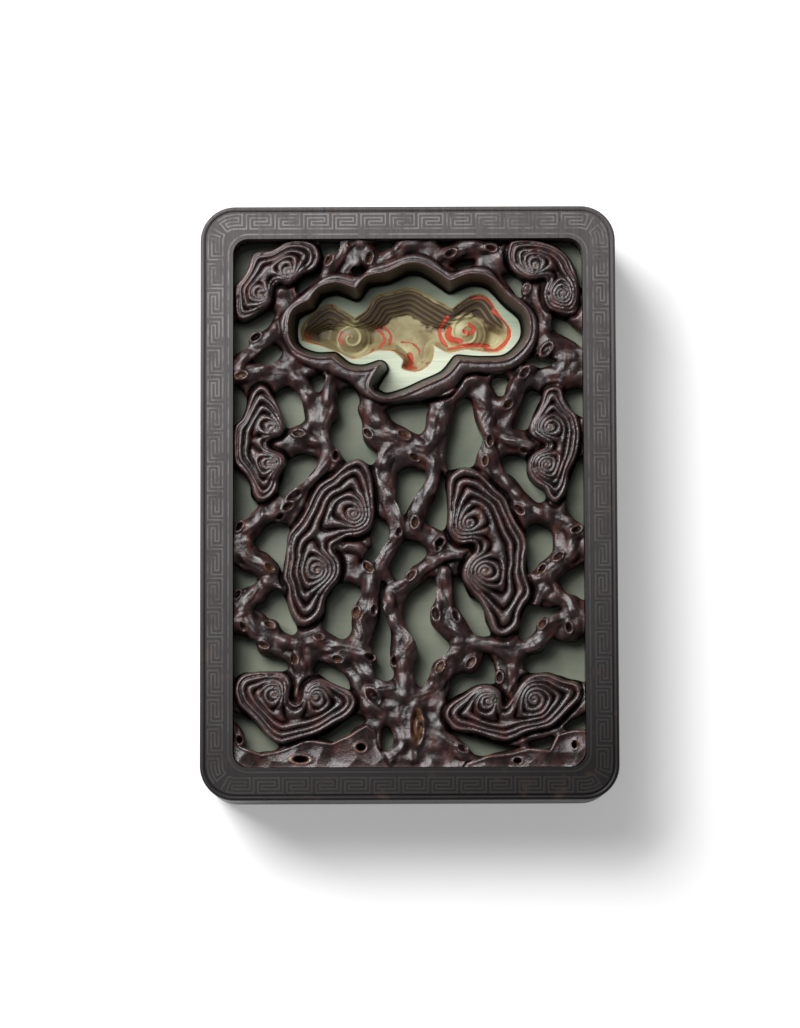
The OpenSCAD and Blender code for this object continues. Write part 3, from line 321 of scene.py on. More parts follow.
# Hollow in the trunk: centre, and radius along the box width and length
TRUNK_HOLLOW = [[1.8, -55], 1.5, 4.6]

# Banks of rocks at the foot of the tree: outline, clockwise from the left wall
LEFT_ROCKS = [[-44.5, -52.5], [-42.3, -54.5], [-41, -59.5], [-36, -61.4], [-31, -60.3], [-25.5, -57.8],
    [-19, -58.8], [-14.5, -56.7], [-10.5, -54.3], [-8, -56], [-7.5, -60], [-6, -62.5], [-4, -66.5],
    [-44.5, -66.5]]
RIGHT_ROCKS = [[12, -66.5], [14, -63.8], [19, -62], [25, -61.3], [29, -60.2], [34, -60.6], [36, -56.8],
    [40, -55.8], [44.5, -55.8], [44.5, -66.5]]
# Water-worn holes in the rocks: centre, radius along the box width and length
ROCK_HOLES = [[[-41.4, -58], 0.6, 0.8], [[-26.5, -62.9], 1.7, 0.7], [[-11.8, -60], 1, 0.8],
    [[26.3, -63.4], 0.8, 0.5], [[40.2, -59.5], 0.5, 0.8]]

# ---- curves ----


def smooth_open(points, per_span=6):
    """Smooth curve through the points, with its last point."""
    p = np.array(points, float)
    p = np.vstack([p[:1], p, p[-1:]])
    t = np.arange(per_span)[:, None] / per_span
    spans = []
    for a, b, c, d in zip(p[:-3], p[1:-2], p[2:-1], p[3:]):
        spans.append(0.5 * (2 * b + (c - a) * t + (2 * a - 5 * b + 4 * c - d) * t ** 2
                            + (3 * b - a - 3 * c + d) * t ** 3))
    return np.vstack(spans + [p[-1:]])


def smooth_ring(points, per_span=6):
    """Smooth closed curve through the points."""
    p = [points[-1]] + list(points) + list(points[:2])
    whole = smooth_open(p, per_span)
    return whole[per_span:-2 * per_span - 1]


def lobe_ring(lobes, per_span=6):
    """Closed outline of smooth lobes that meet in cusps."""
    return np.vstack([smooth_open(lobe, per_span)[:-1] for lobe in lobes])


def to_line(x, y, line):
    """Distance to an open line."""
    best = np.full(x.shape, 1e9)
    for (ax, ay), (bx, by) in zip(line[:-1], line[1:]):
        dx, dy = bx - ax, by - ay
        t = np.clip(((x - ax) * dx + (y - ay) * dy) / (dx * dx + dy * dy + 1e-12), 0, 1)
        best = np.minimum(best, (x - ax - t * dx) ** 2 + (y - ay - t * dy) ** 2)
    return np.sqrt(best)


def to_ring(x, y, ring):
    """Signed distance to a closed outline, below zero inside it."""
    closed = np.vstack([ring, ring[:1]])
    inside = np.zeros(x.shape, bool)
    for (ax, ay), (bx, by) in zip(closed[:-1], closed[1:]):
        if ay != by:
            inside ^= ((ay > y) != (by > y)) & (x < (bx - ax) * (y - ay) / (by - ay) + ax)
    return np.where(inside, -1, 1) * to_line(x, y, closed)


def to_box(x, y, width, length, radius):
    """Signed distance to a rectangle with round corners, below zero inside it."""
    qx = np.abs(x) - width / 2 + radius
    qy = np.abs(y) - length / 2 + radius
    outside = np.hypot(np.maximum(qx, 0), np.maximum(qy, 0))
    return outside + np.minimum(np.maximum(qx, qy), 0) - radius


def along(x, y, route, halves):
    """Distance past the side of a branch, half width, side offset and heading, at each point."""
    gap = np.full(x.shape, 1e9)
    half = np.ones(x.shape)
    side = np.zeros(x.shape)
    turn = np.zeros(x.shape)
    for (ax, ay), (bx, by), ra, rb in zip(route[:-1], route[1:], halves[:-1], halves[1:]):
        dx, dy = bx - ax, by - ay
        length = math.hypot(dx, dy) + 1e-9
        t = np.clip(((x - ax) * dx + (y - ay) * dy) / length ** 2, 0, 1)
        r = ra + (rb - ra) * t
        away = np.hypot(x - ax - t * dx, y - ay - t * dy) - r
        near = away < gap
        gap = np.where(near, away, gap)
        half = np.where(near, r, half)
        side = np.where(near, ((y - ay) * dx - (x - ax) * dy) / length, side)
        turn = np.where(near, math.atan2(dy, dx), turn)
    return gap, half, side, turn


def step_up(low, high, v):
    """Smooth rise from 0 at low to 1 at high."""
    t = np.clip((v - low) / (high - low), 0, 1)
    return t * t * (3 - 2 * t)


def noise(x, y, size, seed):
    """Smooth random field with features of the given size, from -1 to 1."""
    cells = 64
    table = np.random.default_rng(seed).uniform(-1, 1, (cells, cells))
    u, v = x / size + 31.7, y / size + 17.3
    i, j = np.floor(u).astype(int), np.floor(v).astype(int)
    fu, fv = step_up(0, 1, u - i), step_up(0, 1, v - j)
    i, j, i1, j1 = i % cells, j % cells, (i + 1) % cells, (j + 1) % cells
    low = table[i, j] + (table[i1, j] - table[i, j]) * fu
    high = table[i, j1] + (table[i1, j1] - table[i, j1]) * fu
    return low + (high - low) * fv


def uneven(x, y, swell, seed):
    """Unevenness of a given height and size."""
    height, size = swell
    return height * noise(x, y, size, seed)


def hump(v, middle, reach):
    """Smooth hump of height 1 round a middle value."""
    return np.exp(-((v - middle) / reach) ** 2)


def soften(field, times=1):
    """Field averaged with its neighbours."""
    for _ in range(times):
        p = np.pad(field, 1, mode="edge")
        across = (p[:-2] + 2 * p[1:-1] + p[2:]) / 4
        field = (across[:, :-2] + 2 * across[:, 1:-1] + across[:, 2:]) / 4
    return field


# ---- relief meshes ----

SHARP_ANGLE = math.radians(65)


def grid(half_w, half_l, cell):
    """Even grid over a rectangle."""
    n, m = int(half_w / cell) + 2, int(half_l / cell) + 2
    return np.meshgrid(np.arange(-n, n + 1) * cell, np.arange(-m, m + 1) * cell, indexing="ij")


def window(x, y, points, margin):
    """Part of the grid within a margin of some points."""
    low, high = np.min(points, axis=0) - margin, np.max(points, axis=0) + margin
    i = np.searchsorted(x[:, 0], [low[0], high[0]])
    j = np.searchsorted(y[0], [low[1], high[1]])
    return slice(*i), slice(*j)


def relief_mesh(name, x, y, top, floor, outline, notes):
    """Solid whose top is a height field, cut off at its outline, with named point values."""
    x, y, outline = x.copy(), y.copy(), outline.copy()
    pitch_x = np.gradient(x, axis=0)
    pitch_y = np.gradient(y, axis=1)
    gx = np.gradient(outline, axis=0) / pitch_x
    gy = np.gradient(outline, axis=1) / pitch_y
    steep = gx * gx + gy * gy + 1e-9
    reach = 0.5 * (np.abs(gx) * pitch_x + np.abs(gy) * pitch_y) / np.sqrt(steep)
    snap = np.abs(outline) < reach * np.sqrt(steep) * 0.999
    x[snap] -= (outline * gx / steep)[snap]
    y[snap] -= (outline * gy / steep)[snap]
    inside = snap | (outline < 0)

    rows, columns = x.shape
    index = np.arange(rows * columns).reshape(rows, columns)
    corners = np.stack([index[:-1, :-1], index[1:, :-1], index[1:, 1:], index[:-1, 1:]], -1)
    corners = corners.reshape(-1, 4)
    held = inside.ravel()[corners]
    quads = corners[held.all(axis=1)]
    threes = corners[held.sum(axis=1) == 3]
    kept = inside.ravel()[threes]
    tris = threes[kept].reshape(-1, 3)

    edges = np.vstack([quads[:, [k, (k + 1) % 4]] for k in range(4)]
                      + [tris[:, [k, (k + 1) % 3]] for k in range(3)])
    count = rows * columns
    forward = edges[:, 0] * count + edges[:, 1]
    rim = edges[~np.isin(forward, edges[:, 1] * count + edges[:, 0])]

    used = np.unique(np.concatenate([quads.ravel(), tris.ravel()]))
    place = np.full(count, -1)
    place[used] = np.arange(len(used))
    n = len(used)
    quads, tris, rim = place[quads], place[tris], place[rim]
    walls = np.stack([rim[:, 1], rim[:, 0], rim[:, 0] + n, rim[:, 1] + n], -1)
    all_quads = np.vstack([quads, quads[:, ::-1] + n, walls])
    all_tris = np.vstack([tris, tris[:, ::-1] + n])

    flat_x, flat_y = x.ravel()[used], y.ravel()[used]
    points = np.empty((2 * n, 3))
    points[:n] = np.stack([flat_x, flat_y, top.ravel()[used]], -1)
    points[n:] = np.stack([flat_x, flat_y, floor.ravel()[used]], -1)
    mesh = mesh_from(name, points * MM, all_quads, all_tris)
    for key, field in notes.items():
        values = np.tile(field.ravel()[used], 2).astype(np.float32)
        mesh.attributes.new(key, "FLOAT", "POINT").data.foreach_set("value", values)
    return mesh


def mesh_from(name, points, quads, tris):
    """Mesh of quads and triangles, shaded smooth but for its sharp edges."""
    mesh = bpy.data.meshes.new(name)
    loops = np.concatenate([quads.ravel(), tris.ravel()])
    starts = np.concatenate([np.arange(len(quads)) * 4,
                             4 * len(quads) + np.arange(len(tris)) * 3])
    mesh.vertices.add(len(points))
    mesh.vertices.foreach_set("co", points.astype(np.float32).ravel())
    mesh.loops.add(len(loops))
    mesh.loops.foreach_set("vertex_index", loops.astype(np.int32))
    mesh.polygons.add(len(starts))
    mesh.polygons.foreach_set("loop_start", starts.astype(np.int32))
    mesh.polygons.foreach_set("use_smooth", np.ones(len(starts), bool))
    mesh.update(calc_edges=True)
    mesh.set_sharp_from_angle(angle=SHARP_ANGLE)
    return mesh


def new_object(name, data):
    """Object in the scene for a mesh, a lamp or a camera."""
    made = bpy.data.objects.new(name, data)
    bpy.context.scene.collection.objects.link(made)
    return made


def add_piece(name, mesh, material, body, slot, *nodes):
    """Piece that rides on a body and stands for CAD nodes."""
    mesh.materials.append(material)
    piece = new_object(name, mesh)
    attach(piece, body)
    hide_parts(*nodes)


# ---- carving ----

WEB_H = 3.3
WEB_RISE = 1.9
WEB_ROUND = 2.8
LEVEL_BLEND = 3.0
LIMB_BULGE, LIMB_FALL = 0.8, 3.5
FLUTE_D, FLUTE_RATE = 0.07, 4.4
CREASE_D, CREASE_W = 1.6, 0.5
CREST_BLUR = 24

RIDGES, RIDGE_D = 6.4, 0.62
SCROLL_RISE, SCROLL_WEAR = 0.8, 0.8
HEAD_FALL, HEAD_ROUND = 1.8, 1.2
HEAD_LEAST_H = 3.6
MOAT_D, MOAT_W = 0.9, 0.4

BEAD_H, BEAD_GROOVE_D, BEAD_W = 0.28, 0.22, 0.3
COLLAR_FALL, COLLAR_ROUND = 1.3, 1.4

CHIP, CHIP_RISE, CHIP_D = 6.5, 0.24, 0.9
CRISP_EDGES = (4.3, 5.0)
ROCK_RIM_H, ROCK_FALL, ROCK_ROUND = 0.3, 1.0, 0.5
HOLE_D, HOLE_RIM_H = 3.0, 0.3

KNOT_H = 4.4
KNOT_LENGTH, KNOT_WIDTH, KNOT_FOOT = 1.35, 0.8, 1.15
KNOT_SWELL, KNOT_RIM_H, KNOT_PIT_D = 0.5, 0.42, 0.75
TRUNK_HOLLOW_D, TRUNK_RIM_H, TRUNK_HEART_H = 1.1, 0.3, 0.7

# Unevenness of each form: its height and the size of its swells
GAP_WAVER = (0.22, 2.4)
WEB_SWELL = (0.7, 3.6)
WEB_RIPPLE = (0.3, 1.7)
LIMB_WAVER = (0.3, 3.1)
LIMB_SWELL = (0.85, 2.6)
FLUTE_TWIST = (6, 4.0)
RIDGE_WAVER = (0.22, 3.4)


def round_off(depth, reach):
    """Quarter round that rises from 0 at the edge to 1 at the reach."""
    t = 1 - np.clip(depth / reach, 0, 1)
    return np.sqrt(1 - t * t)


def blend(one, other):
    """Higher of two levels, blended where they are alike."""
    return np.logaddexp(LEVEL_BLEND * one, LEVEL_BLEND * other) / LEVEL_BLEND


def ridges(phase):
    """Round ridges with sharp grooves between and a fine line along each, from 0 to 1."""
    return np.abs(np.sin(np.pi * phase)) ** 0.6 - 0.14 * np.abs(np.cos(np.pi * phase)) ** 24


def facets(x, y, size, seed):
    """Distance to the nearest of scattered points, about one to each square of a size."""
    rng = np.random.default_rng(seed)
    nearest = np.full(x.shape, 2.0 * size)
    for i in range(int(x.min() / size) - 2, int(x.max() / size) + 2):
        for j in range(int(y.min() / size) - 2, int(y.max() / size) + 2):
            centre = (np.array([i, j]) + rng.uniform(0, 1, 2)) * size
            cut = window(x, y, [centre], 2 * size)
            away = np.hypot(x[cut] - centre[0], y[cut] - centre[1])
            nearest[cut] = np.minimum(nearest[cut], away)
    return nearest


def carve_web(x, y):
    """Level and outline of the wood that the gaps leave, rounded towards each gap."""
    clear = np.full(x.shape, 9.0)
    for gap in GAPS:
        cut = window(x, y, gap, 5)
        clear[cut] = np.minimum(clear[cut], to_ring(x[cut], y[cut], smooth_ring(gap, 4)))
    clear = clear + uneven(x, y, GAP_WAVER, 3)
    level = WEB_H + WEB_RISE * round_off(clear, WEB_ROUND)
    level = level + uneven(x, y, WEB_SWELL, 31) * step_up(0, 1.5, clear)
    level = level + uneven(x, y, WEB_RIPPLE, 32) * step_up(0, 1.0, clear)
    return level, -clear


def carve_branches(x, y):
    """Level and heading of the branches' crests."""
    level = np.zeros(x.shape)
    turn = np.zeros(x.shape)
    tallest = np.full(x.shape, -9.0)
    for number, ((start, end), route) in enumerate(LIMBS):
        line = smooth_open(route, 8)
        share = np.linspace(0, 1, len(line))
        halves = (start + (end - start) * share) / 2
        cut = window(x, y, line, 6)
        px, py = x[cut], y[cut]
        gap, half, side, heading = along(px, py, line, halves)
        gap = gap - uneven(px, py, LIMB_WAVER, 40 + number)
        crown = LIMB_H + 0.1 - LIMB_BULGE * half * (1 - round_off(-gap, half))
        crown = crown + uneven(px, py, LIMB_SWELL, 80 + number)
        crown = crown - LIMB_FALL * np.clip(gap, 0, 3)
        twist = uneven(px, py, FLUTE_TWIST, 120 + number)
        crown = crown + FLUTE_D * np.cos(FLUTE_RATE * side + twist)
        level[cut] = blend(level[cut], crown)
        above = crown > tallest[cut]
        tallest[cut] = np.where(above, crown, tallest[cut])
        turn[cut] = np.where(above, heading, turn[cut])
    return level, turn


def carve_head(px, py, outline, scrolls_here):
    """Level, outline and wear of a fungus head: ridges along its rim that coil in scrolls."""
    edge = soften(to_ring(px, py, smooth_ring(outline, 4)), 12)
    depth = np.clip(-edge, 0, None)
    near = np.zeros(px.shape)
    turns = uneven(px, py, RIDGE_WAVER, 7)
    dome = np.zeros(px.shape)
    wear = np.zeros(px.shape)
    for (cx, cy), radius, way in scrolls_here:
        r = np.hypot(px - cx, py - cy)
        near = near + (r + 0.05) ** -3
        turns = turns - way * np.arctan2(py - cy, px - cx) / (2 * np.pi)
        dome = dome + SCROLL_RISE * round_off(1.3 * radius - r, radius)
        wear = np.maximum(wear, SCROLL_WEAR * hump(r, 0, 0.8))
    phase = RIDGES * depth / (depth + near ** (-1 / 3)) + turns
    waves = [np.cos(2 * np.pi * phase), np.sin(2 * np.pi * phase)]
    slopes = [g for wave in waves for g in np.gradient(wave, CARVE_CELL)]
    rate = np.sqrt(sum(g * g for g in slopes)) / (2 * np.pi)
    wide = np.clip(soften(1 / (rate + 0.1), 2), 0.5, 2.0)
    carved = RIDGE_D * wide * (ridges(phase) - 1)
    fall = HEAD_FALL * (1 - round_off(depth, HEAD_ROUND))
    return HEAD_H + dome + carved - fall, edge, wear


def carve_collar(px, py):
    """Level, foot and hole of the cloud collar round the window."""
    foot = to_ring(px, py, smooth_ring(COLLAR_FOOT, 5))
    crest = to_ring(px, py, lobe_ring(COLLAR_LOBES, 6))
    out = np.clip(crest, 0, None)
    back = np.clip(-crest, 0, None)
    bead = BEAD_H * hump(crest, 0.1, BEAD_W) - BEAD_GROOVE_D * hump(crest, 0.75, BEAD_W)
    swell = -0.1 * np.clip(out - 0.8, 0, None) ** 2
    fall = -COLLAR_FALL * (1 - round_off(-foot, COLLAR_ROUND))
    slope = -COLLAR_H / WINDOW_SLOPE * back
    hole = WINDOW_SLOPE + crest
    return COLLAR_H - BEAD_H + bead + swell + fall + slope, foot, hole


def carve_rocks(px, py, outline, seed):
    """Level, outline and wear of one bank of rocks: smooth hollows between crisp edges."""
    edge = to_ring(px, py, np.array(outline, float))
    depth = np.clip(-edge, 0, None)
    chips = facets(px, py, CHIP, seed)
    level = ROCK_H - CHIP_D + CHIP_RISE * chips + ROCK_RIM_H * hump(depth, 0.5, 0.4)
    level = level - ROCK_FALL * (1 - round_off(depth, ROCK_ROUND))
    crisp = step_up(*CRISP_EDGES, chips)
    return level, edge, 0.3 * crisp + 0.42 * hump(depth, 0, 0.5)


def carve_knot(px, py, length, width, heading):
    """Rise and reach of a cut twig's almond-shaped face."""
    lengthwise = px * math.cos(heading) + py * math.sin(heading)
    crosswise = py * math.cos(heading) - px * math.sin(heading)
    r = np.hypot(lengthwise / length, crosswise / width)
    rise = KNOT_SWELL * hump(r, 0, 1.5) + KNOT_RIM_H * hump(r, 0.95, 0.22)
    return rise - KNOT_PIT_D * step_up(0.9, 0.35, r), r


def add_rocks(x, y, level, outline, wear):
    """Puts the two banks of rocks on the board, with their water-worn holes."""
    for seed, bank in ((11, LEFT_ROCKS), (21, RIGHT_ROCKS)):
        cut = window(x, y, bank, 2)
        high, edge, worn = carve_rocks(x[cut], y[cut], bank, seed)
        hold = step_up(0.3, -0.3, edge)
        level[cut] = level[cut] + (high - level[cut]) * hold
        wear[cut] = np.maximum(wear[cut], worn * hold)
        outline[cut] = np.minimum(outline[cut], edge)
    for (cx, cy), rx, ry in ROCK_HOLES:
        r = np.hypot((x - cx) / rx, (y - cy) / ry)
        level[:] = level - HOLE_D * step_up(1.1, 0.7, r) + HOLE_RIM_H * hump(r, 1.5, 0.35)
        wear[:] = np.maximum(wear, 0.9 * hump(r, 1.4, 0.4))


def add_knots(x, y, level, outline, wear, turn):
    """Puts the cut twigs on the branches, and the hollow in the trunk."""
    faces = [[place, KNOT_LENGTH * radius, KNOT_WIDTH * radius, None] for place, radius in KNOTS]
    gold = np.random.default_rng(5).uniform(0.1, 1, len(faces) + len(STUBS))
    for share, ((cx, cy), length, width, degrees) in zip(gold, faces + STUBS):
        i = min(np.searchsorted(x[:, 0], cx), x.shape[0] - 1)
        j = min(np.searchsorted(y[0], cy), x.shape[1] - 1)
        if outline[i, j] > 0.9:
            continue
        heading = turn[i, j] if degrees is None else math.radians(degrees)
        cut = window(x, y, [[cx, cy]], length + 3)
        rise, r = carve_knot(x[cut] - cx, y[cut] - cy, length, width, heading)
        level[cut] = np.maximum(level[cut], KNOT_H - 3 * np.clip(r - 1, 0, 1)) + rise
        outline[cut] = np.minimum(outline[cut], (r - KNOT_FOOT) * width)
        worn = share * hump(r, 0.4, 0.4) * (0.4 + 0.5 * (degrees is None))
        wear[cut] = np.maximum(wear[cut], worn)
    (cx, cy), rx, ry = TRUNK_HOLLOW
    r = np.hypot((x - cx) / rx, (y - cy) / ry)
    level[:] = level - TRUNK_HOLLOW_D * step_up(1, 0.6, r) + TRUNK_RIM_H * hump(r, 1.15, 0.2)
    level[:] = level + TRUNK_HEART_H * hump(r, 0, 0.35)
    wear[:] = np.maximum(wear, 1.1 * step_up(1.15, 0.9, r))


def add_heads(x, y, level, outline, wear):
    """Puts the fungus heads on the board, each with a moat round it."""
    for number, head in enumerate(HEADS):
        cut = window(x, y, head, 2)
        mine = SCROLLS[2 * number:2 * number + 2]
        high, edge, worn = carve_head(x[cut], y[cut], head, mine)
        hold = step_up(0.25, -0.35, edge)
        level[cut] = level[cut] + (np.maximum(high, HEAD_LEAST_H) - level[cut]) * hold
        outline[cut] = np.minimum(outline[cut], edge)
        wear[cut] = wear[cut] * (1 - hold) + worn * hold
        level[cut] = level[cut] - MOAT_D * hump(edge, 0.45, MOAT_W)


def add_collar(x, y, level, outline, wear):
    """Puts the cloud collar on the board, and cuts its window."""
    cut = window(x, y, COLLAR_FOOT, 3)
    high, foot, hole = carve_collar(x[cut], y[cut])
    hold = step_up(0.2, -0.3, foot)
    level[cut] = level[cut] + (high - level[cut]) * hold
    wear[cut] = wear[cut] * (1 - hold)
    outline[cut] = np.maximum(np.minimum(outline[cut], foot), -hole)


def carve_board():
    """The whole openwork board: branches, heads, rocks and the cloud collar."""
    x, y = grid(BOARD_W / 2, BOARD_L / 2, CARVE_CELL)
    level, outline = carve_web(x, y)
    crests, turn = carve_branches(x, y)
    level = blend(level, crests)
    for crease in CREASES:
        level = level - CREASE_D * hump(to_line(x, y, smooth_open(crease, 4)), 0, CREASE_W)
    wear = np.zeros(x.shape)
    add_rocks(x, y, level, outline, wear)
    add_knots(x, y, level, outline, wear, turn)
    add_heads(x, y, level, outline, wear)
    add_collar(x, y, level, outline, wear)

    level = soften(level)
    opening = to_box(x, y, OPENING_W - 2 * BOARD_GAP, OPENING_L - 2 * BOARD_GAP, OPENING_R)
    board = to_box(x, y, BOARD_W, BOARD_L, OPENING_R)
    level = np.where(opening > 0, BOARD_EDGE_T, level)
    outline = np.maximum(np.minimum(outline, -opening), board)
    level = np.clip(level, BOARD_LEAST_T, COLLAR_H + 0.1)
    # Height above the blurred surface; the carved wood paints highlights on the ridges and shade in the
    # recesses from it
    crest = level - soften(level, CREST_BLUR)
    return x, y, level, outline, crest, wear


# ---- stone ----

POOL_SPAN_X, POOL_SPAN_Y = (-30.0, 30.0), (29.0, 57.0)
POOL_STEPS = 6
# Where the north and the west terraces begin: the north treads are wider, and both sides take the maroon
# that is partly painted shade
NORTH_SIDE, WEST_SIDE = (42.5, 46.5), (-20.5, -23)
TREAD_W, NORTH_TREAD_MORE, RISER_W = 0.4, 0.95, 0.4
SCROLL_BOSS_D, SCROLL_BOSS_FALL = 2.0, 0.9
SCROLL_PITCH, SCROLL_ARM_H, SCROLL_ARM_W = 2.3, 0.35, 0.32
POOL_WAVER = (0.1, 2.5)
TREAD_WAVER = (0.25, 7.0)

# Red veins laid bare in the pool: width, depth of red from 0 to 1, and route
RED_VEINS = [
    [0.8, 1.0, [[-7.7, 44.6], [-6.1, 42.7], [-6, 41.1], [-7, 39.4]]],
    [0.7, 0.9, [[-6, 45], [-4.4, 43.2], [-4.3, 41.4], [-4.9, 40.1]]],
    [0.8, 0.8, [[-16.3, 43.1], [-16.9, 41.6], [-16.1, 40.4]]],
    [0.9, 0.5, [[-14.6, 42.8], [-14.1, 41.6]]],
    [1.3, 0.6, [[-25.2, 43], [-24.2, 40.6], [-21.8, 39.5]]],
    [0.5, 0.6, [[-21.5, 39.2], [-17.5, 37.6], [-13.5, 36.6], [-10, 37.2], [-8.5, 39]]],
    [0.5, 0.8, [[-1.6, 41.1], [0.9, 40.8], [2.6, 39.4], [2.9, 37.7]]],
    [0.5, 0.9, [[-6.5, 38.2], [-3.5, 38.4], [-1.1, 37.4], [-0.3, 35.6]]],
    [1.5, 1.0, [[0.4, 37.8], [0.7, 36], [-0.3, 34.4], [1.6, 34.3]]],
    [0.7, 0.5, [[3.6, 36], [5, 35.2]]],
    [1.0, 1.0, [[9.8, 46.8], [8.3, 44.8], [7.9, 42.8], [8.8, 40.9], [9.5, 39.9]]],
    [1.5, 1.0, [[10.3, 44], [9.9, 42.6], [10.9, 41.4], [13, 40.9]]],
    [1.1, 1.0, [[13.9, 43.3], [15, 42.7], [16.3, 43.7], [15.4, 44.9]]],
    [1.1, 1.0, [[10.2, 38.8], [13.2, 39.6], [16.6, 39.9], [20, 40]]],
    [1.1, 1.0, [[21.1, 48.2], [24, 45.8], [25, 43.8], [24.8, 41.4], [23.3, 39.6], [21.4, 38.5],
        [19.2, 38.8]]],
    [0.8, 0.9, [[15.5, 51.4], [18.4, 51.6], [20.4, 50.3], [21.2, 49.2]]],
    [0.5, 0.5, [[-21.8, 49.2], [-18, 49.6], [-15, 47.8], [-12.6, 46.7], [-9.8, 48.6], [-7.5, 51.8],
        [-2.3, 53.6], [1.4, 53.9], [5.3, 52.2], [8.8, 49.8]]]]


def stone_lines(half, fine_low, fine_high):
    """Grid lines across the stone: fine at its edges and over the pool, wide elsewhere."""
    fine, wide, band = CARVE_CELL, 2.0, STONE_R + 0.6
    edge = np.arange(half - band, half + 2 * fine, fine)
    pool = np.arange(fine_low, fine_high, fine)
    below = np.arange(-half + band, fine_low - wide / 2, wide)
    above = np.arange(fine_high + wide / 2, half - band - wide / 2, wide)
    return np.concatenate([-edge[::-1], below[1:], pool, above, edge])


def carve_pool(px, py):
    """Depth of the ink pool, with its red and pale parts and its dark parts, which are partly the stone's
    maroon layer and partly painted shade of the collar.
    """
    pool = to_ring(px, py, lobe_ring(POOL_LOBES, 6)) + uneven(px, py, POOL_WAVER, 5)
    into = np.clip(-pool, 0, None)
    into = into + (soften(into, 30) - into) * step_up(0.5, 2.0, into)
    north = step_up(*NORTH_SIDE, py)
    tread = (TREAD_W + NORTH_TREAD_MORE * north) * (1 + uneven(px, py, TREAD_WAVER, 8))
    rise = POOL_D / POOL_STEPS
    depth = np.zeros(px.shape)
    line = np.zeros(px.shape)
    for number in range(POOL_STEPS):
        start = number * tread
        depth += rise * step_up(start, start + RISER_W, into)
        line = np.maximum(line, hump(into - start, 0.15, 0.16))
    # Maroon on the north and west terraces: partly the stone's dark red layer, partly painted shade of
    # the collar
    dark = north * step_up(0.3, 1.0, into) * step_up(7.0, 4.6, into)
    dark = np.maximum(dark, step_up(*WEST_SIDE, px) * step_up(0.5, 1.2, into))
    pale = line * (0.35 + 0.3 * north)
    for (cx, cy), radius in POOL_SCROLLS:
        way = 1 if cx < 0 else -1
        r = np.hypot(px - cx, py - cy)
        coil = r / SCROLL_PITCH - way * np.arctan2(py - cy, px - cx) / (2 * np.pi)
        off = np.abs(coil - np.round(coil)) * SCROLL_PITCH
        arm = hump(off, 0, SCROLL_ARM_W) * step_up(radius + 1.4, radius + 0.6, r)
        hold = step_up(radius + 2.4, radius - 0.6, r)
        boss = SCROLL_BOSS_D + SCROLL_BOSS_FALL * (r / radius) ** 2
        depth = depth + (np.minimum(depth, boss) - depth) * hold - SCROLL_ARM_H * arm
        pale = np.maximum(pale * (1 - hold), 0.7 * arm)
        dark = dark * (1 - hold)
    red = np.zeros(px.shape)
    for width, strength, route in RED_VEINS:
        away = to_line(px, py, smooth_open(route, 5))
        here = step_up(0.4 * width + 0.4, 0.4 * width - 0.25, away)
        red = np.maximum(red, strength * here)
    inside = (pool < 0) * 1.0
    lip = hump(pool, -0.1, 0.2)
    return inside * depth, inside * red, inside * dark, inside * pale, inside, lip


def carve_stone():
    """The stone: flat face, stepped cloud pool with two scrolls, hollow underside."""
    xs = stone_lines(STONE_W / 2, *POOL_SPAN_X)
    ys = stone_lines(STONE_L / 2, *POOL_SPAN_Y)
    x, y = np.meshgrid(xs, ys, indexing="ij")
    outline = to_box(x, y, STONE_W, STONE_L, STONE_R)
    inset = np.clip(-outline, 0, STONE_EDGE)
    level = np.sqrt(np.clip(STONE_EDGE ** 2 - (STONE_EDGE - inset) ** 2, 0, None)) - STONE_EDGE

    cut = window(x, y, np.vstack(POOL_LOBES), 1.5)
    notes = {}
    for name in ("red", "dark", "pale", "pool", "lip"):
        notes[name] = np.zeros(x.shape)
    parts = carve_pool(x[cut], y[cut])
    level[cut] = -parts[0]
    for name, part in zip(notes, parts[1:]):
        notes[name][cut] = part

    hollow = to_box(x, y, STONE_W - 2 * HOLLOW_RIM, STONE_L - 2 * HOLLOW_RIM, STONE_R)
    floor = STONE_FOOT + HOLLOW_D * step_up(0, -0.8, hollow)
    return x, y, STONE_TOP + level, floor, outline, notes


# ---- materials ----

# Colours, as 8-bit ones
CARVING_DARK, CARVING_MIDDLE, CARVING_RED = (22, 13, 12), (36, 22, 20), (70, 34, 28)
# Painted highlight for the ridges, painted shade for the recesses, then worn wood
CARVING_PAINTED_HIGHLIGHT, CARVING_PAINTED_SHADE, CARVING_WORN = (102, 80, 78), (5, 3, 3), (108, 76, 50)
# Painted shade and painted sheen, the two ends of a painted gradient, for the border and then the tray
BORDER_PAINTED_SHADE, BORDER_PAINTED_SHEEN = (22, 20, 20), (84, 80, 81)
TRAY_PAINTED_SHADE, TRAY_PAINTED_SHEEN = (44, 34, 32), (74, 62, 58)
STREAK, BLOT, PORE = (20, 15, 14), (96, 72, 58), (14, 11, 10)
# Painted shade and painted sheen of the silver, ends of the same painted gradient, then tarnish
SILVER_PAINTED_SHADE, SILVER_PAINTED_SHEEN, TARNISH = (46, 44, 43), (112, 109, 108), (44, 40, 38)
FACE_DARK, FACE_PALE, FACE_BRUSHED = (88, 94, 82), (124, 128, 112), (86, 98, 86)
# Face near the pool, face under the painted shadow of the collar north of the pool, and pale face south
# of it
FACE_NEAR, FACE_NORTH_PAINTED_SHADOW, FACE_SOUTH = (146, 160, 138), (80, 87, 72), (202, 209, 186)
BASIN_DARK, BASIN_MIDDLE, BASIN_PALE = (104, 90, 60), (140, 130, 94), (172, 166, 128)
# Painted shade of the collar on the west of the basin, then flecks and pale lines of the stone
BASIN_WEST_PAINTED_SHADE, BASIN_FLECK, BASIN_LINE = (96, 86, 58), (116, 98, 66), (164, 158, 118)
